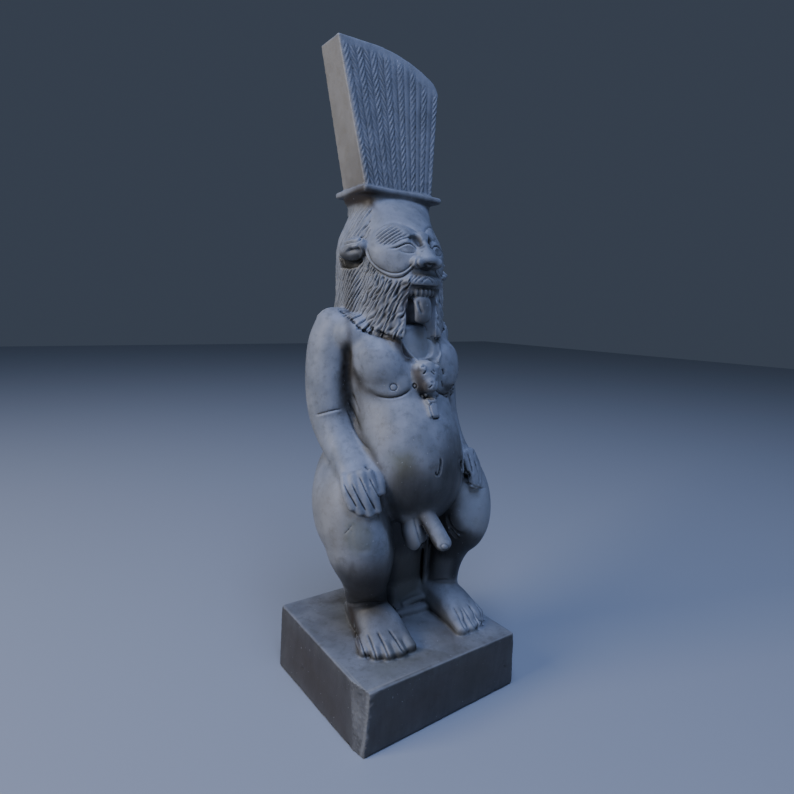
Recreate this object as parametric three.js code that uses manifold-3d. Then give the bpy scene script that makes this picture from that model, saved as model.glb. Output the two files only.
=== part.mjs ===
// A cast figure of the dwarf god Bes on a block plinth: knees bent, hands on his thighs, tongue out, in a
// lion's mane and a tall feather crown with one corner broken off. Figure and plinth are one closed solid.
// Millimetres, +Z up. The figure faces -Y and the origin is the centre of the plinth's underside.
import * as THREE from 'three';
import { mergeVertices } from 'three/addons/utils/BufferGeometryUtils.js';
import Module from 'manifold-3d';

// Driving dimensions
const plinthWidth = 110;
const plinthDepth = 104;
const plinthHeight = 38;
const plinthCornerRadius = 3;
const plinthEdgeRound = 1.5;
const figureHeight = 339; // from the plinth's top to the crown's highest corner

// The figure is laid out in parts of its height, as a sculptor squares up a block. A station or place
// below is [x, y, z] in parts from the middle of its feet, with half sizes in parts after it.
const partsHigh = 339;
const part = figureHeight / partsHigh;

// The original isn't true: its middle wanders sideways as it rises, and it is turned on its plinth.
const wander = [[0, 7.5], [25, 5], [70, 1], [150, -3.5], [180, -5], [225, -3.5], [258, -1.5], [340, -2]];
const turnAtFeet = -5;
const turnAtCrown = -2;
const crownFoot = 258;

const wasm = await Module();
wasm.setup();

const { lerp, clamp, degToRad } = THREE.MathUtils;

function middleAt(z) {
  const next = clamp(wander.findIndex(([height]) => height > z), 1, wander.length - 1);
  const [z0, x0] = wander[next - 1];
  const [z1, x1] = wander[next];
  return lerp(x0, x1, clamp((z - z0) / (z1 - z0), 0, 1));
}

// Moves a closed geometry from parts to its place in the casting and makes it a solid to join and cut.
function cast(geometry) {
  const bare = new THREE.BufferGeometry();
  bare.setAttribute('position', geometry.getAttribute('position').clone());
  bare.setIndex(geometry.index.clone());
  const p = bare.attributes.position;
  for (let i = 0; i < p.count; i++) {
    const z = p.getZ(i);
    const turn = degToRad(lerp(turnAtFeet, turnAtCrown, clamp(z / crownFoot, 0, 1)));
    const x = p.getX(i) * Math.cos(turn) - p.getY(i) * Math.sin(turn) + middleAt(z);
    const y = p.getX(i) * Math.sin(turn) + p.getY(i) * Math.cos(turn);
    p.setXYZ(i, x * part, y * part, z * part + plinthHeight);
  }
  return solid(bare);
}

function solid(geometry) {
  const merged = mergeVertices(geometry, 1e-4);
  const mesh = new wasm.Mesh({
    numProp: 3,
    vertProperties: new Float32Array(merged.attributes.position.array),
    triVerts: new Uint32Array(merged.index.array),
  });
  return new wasm.Manifold(mesh);
}

function geometryOf(body) {
  const mesh = body.getMesh();
  const geometry = new THREE.BufferGeometry();
  geometry.setAttribute('position', new THREE.BufferAttribute(new Float32Array(mesh.vertProperties), 3));
  geometry.setIndex(new THREE.BufferAttribute(new Uint32Array(mesh.triVerts), 1));
  geometry.computeVertexNormals();
  return geometry;
}

function join(bodies) {
  return bodies.reduce((sum, next) => sum.add(next));
}

// Builds a form once for the figure's right (-1) and once for its left (+1).
function both(form) {
  return [form(-1), form(1)].flat();
}

// Superellipse: power 2 is an ellipse, larger powers are squarer.
function squared(value, power) {
  return Math.sign(value) * Math.abs(value) ** (2 / power);
}

// A round-ended form through stations [x, y, z, half across, half deep]. A ball's rings are laid along
// the curve through the stations, square to it or level. swell(angle, t) scales a ring's points to carve
// ridges and sink(angle, t) lowers them; on a form that runs downwards, angle is a quarter turn in front.
function limb(stations, options = {}) {
  const { side = 1, sides = 12, power = 2, dome = 0.8, caps = [1, 0.8], level = false } = options;
  const { swell = () => 1, sink = () => 0 } = options;
  const centres = new THREE.CatmullRomCurve3(stations.map(([x, y, z]) => new THREE.Vector3(x * side, y, z)));
  const sizes = new THREE.CatmullRomCurve3(stations.map((s) => new THREE.Vector3(s[3], s[4], 0)));
  const body = stations.length - 1;
  const rings = body + 2 * caps.length;
  const upright = new THREE.Vector3(0, 0, Math.sign(stations[body][2] - stations[0][2]));
  const across = new THREE.Vector3();
  const deep = new THREE.Vector3();
  const at = new THREE.Vector3();
  const geometry = new THREE.SphereGeometry(1, sides, rings);
  const { position, uv } = geometry.attributes;
  for (let i = 0; i < position.count; i++) {
    const ring = Math.round((1 - uv.getY(i)) * rings);
    const rise = caps[Math.min(ring, rings - ring)] ?? 0;
    const t = clamp((ring - caps.length) / body, 0, 1);
    const size = sizes.getPoint(t);
    const along = level ? upright : centres.getTangent(t);
    const end = t < 0.5 ? -1 : 1;
    centres.getPoint(t, at).addScaledVector(along, end * rise * dome * Math.min(size.x, size.y));
    across.set(1, 0, 0).addScaledVector(along, -along.x).normalize();
    deep.crossVectors(along, across);
    const angle = (uv.getX(i) % 1) * 2 * Math.PI;
    const round = Math.sqrt(1 - rise * rise);
    const reach = round * swell(angle, t);
    at.addScaledVector(across, -squared(Math.cos(angle), power) * size.x * reach);
    at.addScaledVector(deep, squared(Math.sin(angle), power) * size.y * reach);
    position.setXYZ(i, at.x, at.y, at.z - round * sink(angle, t));
  }
  return cast(geometry);
}

// An ellipsoid at a place, turned by degrees about X, Y and Z.
function lump(at, radii, { side = 1, turn = [0, 0, 0], detail = [10, 7] } = {}) {
  const geometry = new THREE.SphereGeometry(1, ...detail);
  const [x, y, z] = turn.map(degToRad);
  geometry.applyMatrix4(new THREE.Matrix4().compose(
    new THREE.Vector3(at[0] * side, at[1], at[2]),
    new THREE.Quaternion().setFromEuler(new THREE.Euler(x, y * side, z * side, 'ZYX')),
    new THREE.Vector3(...radii),
  ));
  return cast(geometry);
}

// A block standing on z = 0 with rounded corners and edges.
function block({ width, depth, height, corner, edge }) {
  const w = width / 2 - edge - corner;
  const d = depth / 2 - edge - corner;
  const shape = new THREE.Shape();
  shape.absarc(w, -d, corner, -Math.PI / 2, 0, false);
  shape.absarc(w, d, corner, 0, Math.PI / 2, false);
  shape.absarc(-w, d, corner, Math.PI / 2, Math.PI, false);
  shape.absarc(-w, -d, corner, Math.PI, 1.5 * Math.PI, false);
  const body = new THREE.ExtrudeGeometry(shape, {
    depth: height - 2 * edge,
    bevelSize: edge,
    bevelThickness: edge,
    bevelSegments: 1,
    curveSegments: 2,
  });
  body.translate(0, 0, edge);
  body.deleteAttribute('normal');
  body.deleteAttribute('uv');
  return mergeVertices(body, 1e-4);
}

function makeLeg(side) {
  const hip = [[22, 9, 114, 15, 15], [27.5, 5, 102, 20, 23]];
  const thigh = [[34.5, -3, 89, 21, 25.5], [37.5, -9, 77, 20, 25]];
  const knee = [[37.5, -12.5, 66, 17.5, 23], [36.5, -13.5, 55, 16.5, 19.5], [34, -9, 45, 15, 15.5]];
  const shin = [[29.5, -2.5, 34, 14, 13], [26.5, -0.5, 22, 13, 12.5], [25.5, 0, 6, 13.5, 14]];
  return limb([...hip, ...thigh, ...knee, ...shin], { side, dome: 0.4 });
}

// The left foot stands a little further out than the right.
function makeFoot(side) {
  const out = side > 0 ? 2.5 : -0.5;
  const ankle = [[25, 14, 6, 11, 8], [26, 5, 8, 13, 10]];
  const instep = [[26 + out, -12, 6, 15, 7.5], [28 + out, -27, 4, 15.5, 5]];
  const tips = [[17.5, -39, 4.3], [25, -40.5, 4], [32, -40, 3.6], [38, -37, 3.4], [43, -31.5, 3.2]];
  const toes = tips.map(([x, y, r]) => {
    const root = [lerp(27, x, 0.85) + out, -20, 5, r, r];
    const joint = [lerp(27, x, 0.96) + out, y + 9, 4.5, r, r];
    return limb([root, joint, [x + out, y + 3.5, 2.5, r, r * 0.9]], { side, sides: 5, caps: [1] });
  });
  return [limb([...ankle, ...instep], { side, sides: 10, power: 2.3 }), ...toes];
}

function makeTorso() {
  const belly = [[0, -2, 78, 29, 27], [0, -7, 91, 31.5, 31], [0, -10, 104, 32.5, 33], [0, -9, 117, 32, 32]];
  const waist = [[0, -6, 129, 30.5, 29.5], [0, -3, 141, 29.5, 26.5]];
  const chest = [[0, -2, 154, 31, 24], [0, 1, 166, 33, 21.5], [0, 5, 179, 31, 19], [0, 9, 190, 25, 17]];
  const trunk = limb([...belly, ...waist, ...chest], { sides: 22, power: 2.1 });
  const hanging = { turn: [-26, 0, 8], detail: [12, 7] };
  const breast = (side) => lump([16, -9.5, 166.5], [20, 13.5, 22], { side, ...hanging });
  const buttock = (side) => lump([13.5, 11, 97], [18.5, 19, 20], { side, detail: [8, 6] });
  const hips = lump([0, 7, 103], [39, 19.5, 22], { detail: [14, 7] });
  return [trunk, hips, ...both(breast), ...both(buttock)];
}

// The arm, with the mass that joins it to the flank behind.
function makeArm(side) {
  const upper = [[31, 13, 183, 13.3, 13.7], [34.5, 14, 171, 14, 14.3], [37, 13, 157, 14, 14]];
  const elbow = [[38, 12, 143, 13.7, 13.5], [38, 9.5, 131, 13, 12.8], [37.3, 2, 120, 12.3, 11.5]];
  const hand = [[36.4, -8, 112, 12.5, 9.5], [36, -18, 106, 13.3, 7.5], [36.6, -25, 100, 12.5, 5.8]];
  const knuckles = [[44.5, -20.5, 102], [39.9, -25, 101.5], [35, -27.5, 102], [30.2, -27.5, 104]];
  const tips = [[46.5, -27, 88], [41.8, -31.5, 86], [36.7, -34, 86], [31.2, -33.8, 89.5]];
  const slim = { side, sides: 5, caps: [1] };
  const finger = (knuckle, i) => limb([[...knuckle, 3.1, 3.1], [...tips[i], 2.8, 2.7]], slim);
  const thumb = [[27.5, -18, 106, 3.6, 3.6], [26, -25, 101, 3.4, 3.2], [27.5, -30, 95.5, 3, 2.8]];
  const arm = limb([...upper, ...elbow, ...hand], { side, caps: [1, 0.8] });
  const flank = limb([[27, 14, 178, 8, 9], [27, 13, 155, 8, 9], [28, 10, 130, 8, 9]], { side, sides: 6 });
  return [arm, flank, ...knuckles.map(finger), limb(thumb, { side, sides: 6 })];
}

// What joins the legs: the skirt of the lion skin behind them, down to the plinth, and its tail.
function makeSkinBetweenLegs() {
  const skirt = [[0, 15, 0, 25, 8], [0, 13, 26, 25, 8.5], [0, 10, 52, 25, 12], [0, 6, 76, 22, 14]];
  const tail = [[0, 27, 104, 5, 5], [0, 26, 76, 4.5, 6], [0, 24, 44, 4.5, 6], [0, 22.5, 6, 6, 6]];
  return [limb(skirt, { power: 3, dome: 0.3 }), limb(tail, { sides: 8 })];
}

function makeSex() {
  const shaft = limb([[0, -27, 84, 4.8, 4.8], [0, -36, 77, 4.8, 5], [0.5, -44, 68, 5, 5]], { sides: 8 });
  const lobe = (side) => lump([6.5, -25, 68], [8, 9, 11], { side, detail: [8, 6] });
  return [shaft, ...both(lobe)];
}

function makeHead() {
  const brow = [[0, 19, 256, 21, 16], [0, 15, 250, 21, 18.5], [0, 11, 243, 22, 22], [0, 7, 236, 24, 25.5]];
  const jaw = [[0, 3.5, 228, 25.5, 27.5], [0, 3, 217, 26, 28], [0, 3, 206, 26.5, 28]];
  const skull = limb([...brow, ...jaw], { sides: 20, dome: 0.1, caps: [1], level: true });
  const disc = { turn: [-6, 0, 40], detail: [12, 6] };
  const cheek = (side) => lump([13.5, -11.5, 224.5], [15.5, 8, 15.5], { side, ...disc });
  const ball = { turn: [0, 0, 32], detail: [8, 5] };
  const eye = (side) => lump([8.5, -22, 226.3], [5.2, 3, 2.6], { side, ...ball });
  const bridge = [[0, -19, 236, 3.4, 3.5], [0, -24, 228, 4, 4.5]];
  const tip = [[0, -27, 222, 5, 5.2], [0, -29, 218.5, 5.5, 4]];
  const nose = limb([...bridge, ...tip], { sides: 8, caps: [1, 0.7] });
  const wing = (side) => lump([5.2, -27, 217.5], [3.8, 4.2, 3.2], { side, detail: [8, 5] });
  const lip = lump([0, -21, 209], [12.5, 8.5, 4.2], { detail: [10, 6] });
  return [skull, nose, lip, ...both(cheek), ...both(eye), ...both(wing), ...both(makeEar)];
}

// A lion's round ear, hollowed.
function makeEar(side) {
  const rim = lump([29.5, 6.5, 225.5], [5, 8.5, 6.2], { side, turn: [-8, 0, 0], detail: [8, 6] });
  const hollow = lump([34.5, 5.5, 226], [3.6, 5.6, 3.6], { side, turn: [-8, 0, 0], detail: [6, 4] });
  return rim.subtract(hollow);
}

// The mane hangs in twisted locks behind and, as a beard, down the chest, lowest in front.
function makeMane() {
  const locks = (count, depth, twist) => (angle, t) => 1 + depth * Math.sin(count * angle + twist * t);
  const crest = [[0, 17, 250, 21, 16], [0, 16, 240, 25.5, 17], [0, 16, 229, 29, 17.5]];
  const cape = [[0, 15.5, 216, 30.5, 18], [0, 15, 203, 30.5, 19], [0, 16, 192, 31, 19]];
  const behind = { sides: 36, power: 3.2, dome: 0.15, caps: [1], swell: locks(12, 0.015, 5) };
  const beard = [[0, 4, 215, 27.5, 26.5], [0, 3, 207, 28.5, 27.5], [0, 2.5, 200, 29.5, 28]];
  const sink = (angle, t) => t * 11 * Math.max(0, Math.sin(angle));
  const flow = { swell: locks(16, 0.02, 3), sink };
  const before = { sides: 48, power: 2.2, dome: 0.1, caps: [1], level: true, ...flow };
  return [limb([...crest, ...cape], behind), limb([...beard, [0, 2, 193, 30, 28]], before)];
}

// The open mouth, and below it the bare throat between the two halves of the beard.
function makeMouth() {
  const opening = [[0, -27, 200, 8, 9], [0, -27, 191, 8.5, 8], [0, -26, 182, 10, 7.5], [0, -26, 172, 11, 9]];
  return limb(opening, { sides: 10 });
}

function makeTeeth() {
  const count = 5;
  return Array.from({ length: count }, (_, i) => {
    const x = (i - (count - 1) / 2) * 2.9;
    return lump([x, -25.5 + 0.04 * x * x, 205], [1.5, 1.6, 3.2], { detail: [6, 4] });
  });
}

function makeTongue() {
  return limb([[0, -17, 204, 5.5, 3], [0, -22.5, 199, 5.8, 3], [0, -22.5, 191, 5.4, 2.6]], { sides: 8 });
}

function makeCrown() {
  const foot = [[0, 18, 247, 21.5, 17], [0, 18.5, 253, 22, 16], [0, 19, 258, 25, 16.5]];
  const lip = block({ width: 52, depth: 34.4, height: 4, corner: 2.5, edge: 1.2 }).translate(0, 19, 256.6);
  return [limb(foot, { sides: 16, power: 4, dome: 0.1, caps: [1] }), cast(lip), makeFeathers()];
}

// The feathers stand as one leaning slab. Its front is ribbed, and its left corner is broken off.
function makeFeathers() {
  const feathers = 9;
  const columns = feathers * 4;
  const ribDepth = 0.8;
  const slab = new THREE.BoxGeometry(2, 1, 1, columns, 1, 1);
  const p = slab.attributes.position;
  for (let i = 0; i < p.count; i++) {
    const u = p.getX(i);
    const topX = 34.5 * u;
    const drop = 0.0064 * Math.max(0, topX + 13) ** 2 + 3 * clamp((u - 0.9) / 0.1, 0, 1);
    const z = lerp(crownFoot, partsHigh - drop, p.getZ(i) + 0.5);
    const rise = (z - crownFoot) / (partsHigh - crownFoot);
    const front = p.getY(i) < 0;
    const rib = front ? ribDepth * (Math.round((u + 1) * columns / 2) % 2) : 0;
    const y = front ? lerp(5.2, 17, rise) + rib : lerp(31, 38, rise);
    p.setXYZ(i, u * lerp(22.5, 34.5, rise), y, z);
  }
  return cast(slab);
}

// The lion's-head pendant on its straps, with a tag below it.
function makePendant() {
  const mask = lump([0, -28.5, 158], [8, 7, 8.5], { detail: [8, 6] });
  const muzzle = lump([0, -34, 154], [4.5, 3.5, 4], { detail: [8, 6] });
  const ear = (side) => lump([6, -32, 165], [2.4, 2.4, 2.4], { side, detail: [6, 5] });
  const hanger = [[12.5, -18, 180, 2.4, 2.4], [9, -24, 170, 2.4, 2], [5, -28, 162, 2.4, 2]];
  const strap = (side) => limb(hanger, { side, sides: 5 });
  const flat = { sides: 8, power: 6, dome: 0.1, caps: [1] };
  const tag = limb([[0, -29, 147, 3.2, 3], [0, -33, 137, 3.2, 3]], flat);
  return [mask, muzzle, tag, ...both(ear), ...both(strap)];
}

function makePlinth() {
  return solid(block({
    width: plinthWidth,
    depth: plinthDepth,
    height: plinthHeight,
    corner: plinthCornerRadius,
    edge: plinthEdgeRound,
  }));
}

const limbs = [...both(makeLeg), ...both(makeFoot), ...both(makeArm)];
const trunk = [...makeTorso(), ...makeSkinBetweenLegs(), ...makeSex(), ...makePendant()];
const head = join([...makeHead(), ...makeMane()]).subtract(makeMouth());
const casting = join([makePlinth(), ...limbs, ...trunk, head, ...makeTeeth(), makeTongue(), ...makeCrown()]);

const bes = new THREE.Mesh(
  geometryOf(casting),
  new THREE.MeshStandardMaterial({ color: 0x6f7478, roughness: 0.6, metalness: 0 }),
);
bes.name = 'bes_figure';

const group = new THREE.Group();
group.add(bes);
export default group;
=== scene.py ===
import math

import bmesh
import bpy
import numpy as np
from mathutils import Euler, Matrix, Vector, kdtree, noise


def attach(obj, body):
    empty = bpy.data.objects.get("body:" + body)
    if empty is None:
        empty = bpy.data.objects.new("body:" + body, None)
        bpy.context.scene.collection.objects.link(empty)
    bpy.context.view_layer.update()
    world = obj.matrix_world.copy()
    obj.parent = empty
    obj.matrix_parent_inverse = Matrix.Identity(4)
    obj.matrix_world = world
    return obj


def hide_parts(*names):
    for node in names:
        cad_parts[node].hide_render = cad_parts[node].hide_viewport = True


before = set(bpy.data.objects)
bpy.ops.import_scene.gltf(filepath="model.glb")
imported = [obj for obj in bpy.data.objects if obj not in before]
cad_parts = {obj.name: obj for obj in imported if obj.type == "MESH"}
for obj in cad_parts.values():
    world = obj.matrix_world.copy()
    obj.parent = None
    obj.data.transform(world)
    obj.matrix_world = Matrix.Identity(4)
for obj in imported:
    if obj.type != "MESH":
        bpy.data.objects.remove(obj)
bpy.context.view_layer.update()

print("frame loaded")

# up to toPlace(), all is in millimetres of the figure's own squared-up frame, above its plinth
stance = {
    "plinthHigh": 38.0,
    "heights": (0, 25, 70, 150, 180, 225, 258, 340),
    "middles": (7.5, 5, 1, -3.5, -5, -3.5, -1.5, -2),  # how far the figure's middle has wandered there
    "turnAtFeet": -5.0,
    "turnAtCrown": -2.0,
    "crownFoot": 258.0,
}

camera = {
    "azimuth": -35.818,
    "pitch": 8.780,
    "roll": 1.761,
    "focal": 570.13,  # in pixels of the 794 px frame
    "frame": 794,
    "place": (-0.19866, -0.27126, 0.23188),
}


def turnAt(z):
    return np.radians(np.interp(z, (0, stance["crownFoot"]), (stance["turnAtFeet"], stance["turnAtCrown"])))


def toPlace(points):
    x, y, z = np.asarray(points, float).T
    turn = turnAt(z)
    middle = np.interp(z, stance["heights"], stance["middles"])
    east = x * np.cos(turn) - y * np.sin(turn) + middle
    north = x * np.sin(turn) + y * np.cos(turn)
    return np.column_stack((east, north, z + stance["plinthHigh"])) / 1000


def toFigure(places):
    east, north, up = np.asarray(places, float).T * 1000
    z = up - stance["plinthHigh"]
    turn = turnAt(z)
    east = east - np.interp(z, stance["heights"], stance["middles"])
    x = east * np.cos(turn) + north * np.sin(turn)
    y = north * np.cos(turn) - east * np.sin(turn)
    return np.column_stack((x, y, z))


azimuth, pitch, roll = (math.radians(camera[k]) for k in ("azimuth", "pitch", "roll"))
back = np.array((math.sin(azimuth) * math.cos(pitch), -math.cos(azimuth) * math.cos(pitch), math.sin(pitch)))
level = np.cross((0, 0, 1), back) / math.cos(pitch)
plumb = np.cross(back, level)
right = level * math.cos(roll) + plumb * math.sin(roll)
up = plumb * math.cos(roll) - level * math.sin(roll)


def inView(points):  # the camera's pixels of points of the figure, and how many millimetres off they are
    ray = toPlace(points) - camera["place"]
    far = -ray @ back
    half = camera["frame"] / 2
    across = half + camera["focal"] * (ray @ right) / far
    down = half - camera["focal"] * (ray @ up) / far
    return np.column_stack((across, down)), far * 1000


def spline(rows, share):  # Catmull-Rom through the rows, and its slope
    rows = np.array(rows, float)
    last = len(rows) - 1
    at = np.clip(share, 0, 1) * last
    i = np.minimum(at.astype(int), last - 1)
    f = (at - i)[:, None]
    ends = np.vstack((2 * rows[0] - rows[1], rows, 2 * rows[-1] - rows[-2]))
    a, b, c, d = (ends[i + k] for k in range(4))
    square = 2 * a - 5 * b + 4 * c - d
    cube = 3 * b - a - 3 * c + d
    value = 0.5 * (2 * b + (c - a) * f + square * f**2 + cube * f**3)
    slope = 0.5 * ((c - a) + 2 * square * f + 3 * cube * f**2)
    return value, slope


def addMesh(mass, shape, points):
    mesh = bpy.data.meshes.new("mass")
    shape.to_mesh(mesh)
    shape.free()
    mesh.vertices.foreach_set("co", toPlace(points).astype(np.float32).ravel())
    mass.from_mesh(mesh)
    bpy.data.meshes.remove(mesh)


def addLimb(
    mass, stations, side=1, sides=40, steps=5, power=2.0, dome=0.8, caps=5, level=False, swell=None, sink=None
):  # a ball whose rings are laid along a curve through the stations (x, y, z, half across, half deep)
    rings = (len(stations) - 1) * steps + 2 * caps
    ball = bmesh.new()
    bmesh.ops.create_uvsphere(ball, u_segments=sides, v_segments=rings, radius=1)
    co = np.array([v.co for v in ball.verts])
    ring = np.rint((0.5 - np.arcsin(np.clip(co[:, 2], -1, 1)) / math.pi) * rings)
    angle = np.arctan2(-co[:, 1], co[:, 0])
    fromEnd = np.minimum(ring, rings - ring)
    rise = np.where(fromEnd < caps, np.cos(fromEnd / caps * math.pi / 2), 0.0)
    t = np.clip((ring - caps) / (rings - 2 * caps), 0, 1)
    rows = np.array(stations, float) * (side, 1, 1, 1, 1)
    value, slope = spline(rows, t)
    centre, size = value[:, :3], value[:, 3:]
    along = slope[:, :3]
    if level:
        along = np.tile((0.0, 0.0, np.sign(rows[-1, 2] - rows[0, 2])), (len(t), 1))
    along = along / np.linalg.norm(along, axis=1)[:, None]
    across = np.array((1.0, 0.0, 0.0)) - along * along[:, :1]
    across = across / np.linalg.norm(across, axis=1)[:, None]
    deep = np.cross(along, across)
    end = np.where(t < 0.5, -1, 1)
    centre = centre + along * (end * rise * dome * size.min(axis=1))[:, None]
    fullness = np.sqrt(np.clip(1 - rise**2, 0, 1))
    reach = fullness * (swell(angle, t) if swell else 1)
    squared = lambda v: np.sign(v) * np.abs(v) ** (2 / power)
    points = centre + across * (squared(np.cos(angle)) * size[:, 0] * reach)[:, None]
    points += deep * (squared(np.sin(angle)) * size[:, 1] * reach)[:, None]
    if sink:
        points[:, 2] -= fullness * sink(angle, t)
    addMesh(mass, ball, points)


def addLump(mass, at, radii, turn=(0, 0, 0), side=1, fineness=4):  # an oval ball; turn in degrees
    ball = bmesh.new()
    bmesh.ops.create_icosphere(ball, subdivisions=fineness, radius=1)
    x, y, z = (math.radians(a) for a in turn)
    place = Vector((at[0] * side, at[1], at[2]))
    matrix = Matrix.LocRotScale(place, Euler((x, y * side, z * side), "XYZ"), Vector(radii))
    bmesh.ops.transform(ball, matrix=matrix, verts=ball.verts)
    addMesh(mass, ball, [v.co for v in ball.verts])


skins = {"torso": (1.1, 16), "head": (0.8, 4), "cast": (0.7, 2), "bes": (0.5, 2)}  # voxel in mm, softenings


def skinOver(mass, name):
    voxel, softenings = skins[name]
    mesh = bpy.data.meshes.new(name)
    mass.to_mesh(mesh)
    mass.free()
    body = bpy.data.objects.new(name, mesh)
    bpy.context.scene.collection.objects.link(body)
    skin = body.modifiers.new("skin", "REMESH")
    skin.mode = "VOXEL"
    skin.voxel_size = voxel / 1000
    soften = body.modifiers.new("soften", "SMOOTH")
    soften.factor = 0.5
    soften.iterations = softenings
    return applied(body)


def applied(body):
    graph = bpy.context.evaluated_depsgraph_get()
    mesh = bpy.data.meshes.new_from_object(body.evaluated_get(graph))
    body.modifiers.clear()
    body.data = mesh
    print(body.name, len(mesh.vertices), "points")
    return body


def asMass(*bodies):
    mass = bmesh.new()
    for body in bodies:
        mass.from_mesh(body.data)
        bpy.data.objects.remove(body)
    return mass


nearSide, farSide = -1, 1  # the near half, at the figure's right hand, is the one seen whole

# the body and the skin between the legs as soft masses: limbs as stations, lumps as place, radii and turn
body = {
    "hip": [(22, 9, 114, 15, 15), (27.5, 5, 102, 20, 23)],
    "thigh": [(34.5, -3, 89, 21, 25.5), (37.5, -9, 77, 20, 25)],
    "buttock": ((13.5, 11, 97), (18.5, 19, 20)),
    "belly": [(0, -4, 86, 28, 27), (0, -7.5, 93, 31.5, 31), (0, -10, 104, 32.5, 33), (0, -9, 117, 32, 32)],
    "waist": [(0, -6, 129, 30.5, 29.5), (0, -3, 141, 29.5, 26.5)],
    "chest": [(0, -2, 154, 31, 24), (0, 1, 166, 33, 21.5), (0, 5, 179, 31, 19), (0, 9, 190, 25, 17)],
    "flank": [(27, 14, 178, 8, 9), (27, 13, 155, 8, 9), (28, 10, 130, 8, 9)],
    "loins": ((0, 7, 103), (39, 19.5, 22)),
    "skin": [(-1.2, 13, 0, 21.8, 9), (-1.2, 12, 26, 21.8, 9), (-1.2, 9, 52, 22.8, 12), (1, 5, 76, 22.5, 14)],
    "skinBack": [(4, 17, 0, 32, 7), (4, 16, 26, 32, 7), (4, 13, 52, 31, 9), (3, 8, 76, 25, 12)],
    "skinTop": (((0, 15, 60), (27, 12, 34)), ((9, 6, 68), (18, 10, 17))),
    "tail": [(0, 27, 104, 5, 5), (0, 26, 76, 4.5, 6), (0, 24, 44, 4.5, 6), (0, 22.5, 6, 6, 6)],
}
halves = {  # what isn't the same in the two halves
    nearSide: {
        "leg": [
            (35.3, -13, 66, 19.5, 23.2), (34.2, -13.8, 55, 18.7, 19.8), (31.8, -10.8, 45, 15.8, 17.2),
            (28.5, -4.5, 34, 13.6, 14.6), (26.4, -1.5, 22, 12.8, 12), (25.5, 0, 6, 12, 12.5),
        ],
        "footOut": -0.5, "footWide": 15,
        "toes": ((17.5, -39, 4.3), (25, -40.5, 4), (32, -40, 3.6), (38, -37, 3.4), (43, -31.5, 3.2)),
        "arm": [
            (31, 13, 183, 13.3, 13.7), (34.5, 14, 171, 14, 14.3), (37, 13, 157, 14, 14),
            (38, 12, 143, 13.7, 13.5), (38, 9.5, 131, 13, 12.8), (37.3, 2, 120, 12.3, 11.5),
            (36.4, -8, 112, 12.5, 9.5), (36.5, -18, 106, 12.5, 7.5), (39, -24, 100, 10.5, 5.5),
        ],
        "breast": ((16.5, -8.8, 165.5), (16.5, 13.5, 20), (-24, 26, 8)),
        "shoulder": ((25, 1, 179), (14, 11, 12)),
        "cheek": ((12.8, -11.7, 224.5), (15.2, 8.3, 15.3), (-6, 0, 40)),
        "eye": ((9.3, -20.4, 224.7), (4.9, 2.6, 2.1), (0, 0, 32)),
        "pendantEar": ((3.7, -31.6, 163.2), (2.3, 2.2, 1.9)),
    },
    farSide: {
        "leg": [
            (37.5, -12.5, 69, 17.3, 22.5), (36.3, -12.3, 60, 15.2, 18.5), (33, -8.5, 50, 12, 14.5),
            (31, -4, 37, 9.8, 13), (30.3, -1, 22, 9.2, 12), (29, 0, 6, 10, 13),
        ],
        "footOut": 2.5, "footWide": 13.2,
        "toes": ((17.5, -39, 4.2), (24.5, -39, 3.6), (30, -37.5, 3.3), (34.5, -34.5, 3), (38.5, -30, 2.8)),
        "arm": [
            (29, 13, 183, 12.6, 13.4), (32.5, 14, 171, 13.2, 13.8), (36, 13.5, 157, 13.4, 13.6),
            (37.6, 13, 143, 13.2, 13.3), (37.4, 10.5, 131, 12.4, 12.5), (35.6, 3, 120, 11.6, 11.5),
            (33.2, -7, 112, 11, 9.5), (32.5, -16, 106, 10.6, 7.5), (33, -22, 100, 9.2, 5.5),
        ],
        "breast": ((18.7, -10.3, 163), (16.5, 13.5, 20), (-24, 26, 8)),
        "shoulder": ((23, 1, 179), (14, 11, 12)),
        "cheek": ((11.8, -10.3, 220.4), (14.5, 7.3, 12), (-6, 0, 40)),
        "eye": ((8.3, -20.4, 224.7), (4.9, 2.6, 2.1), (0, 0, 32)),
        "pendantEar": ((6.6, -30.4, 162.8), (2.3, 2.2, 1.9)),
    },
}

mass = bmesh.new()
for side, half in halves.items():
    addLimb(mass, body["hip"] + body["thigh"] + half["leg"], side, dome=0.4)
    out, wide = half["footOut"], half["footWide"]
    foot = [
        (25, 14, 6, 9.5, 7), (26.3, 3, 8.5, 10.8, 11.5), (26 + out, -11, 8.2, wide - 1.5, 11.8),
        (26.6 + out, -21, 6, wide - 0.5, 8.6), (27.5 + out, -29, 4.2, wide, 5.6),
    ]
    addLimb(mass, foot, side, power=2.3)
    addLimb(mass, half["arm"], side)
    addLimb(mass, body["flank"], side)
    addLump(mass, *half["breast"], side=side)
    addLump(mass, *half["shoulder"], side=side)
    addLump(mass, *body["buttock"], side=side)
addLimb(mass, body["belly"] + body["waist"] + body["chest"], sides=64, power=2.1, dome=0.35)
addLump(mass, *body["loins"])
addLimb(mass, body["skin"], power=3, dome=0.3)
addLimb(mass, body["skinBack"], power=3, dome=0.3)
addLimb(mass, body["tail"])
for lump in body["skinTop"]:
    addLump(mass, *lump)
torso = skinOver(mass, "torso")

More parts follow.
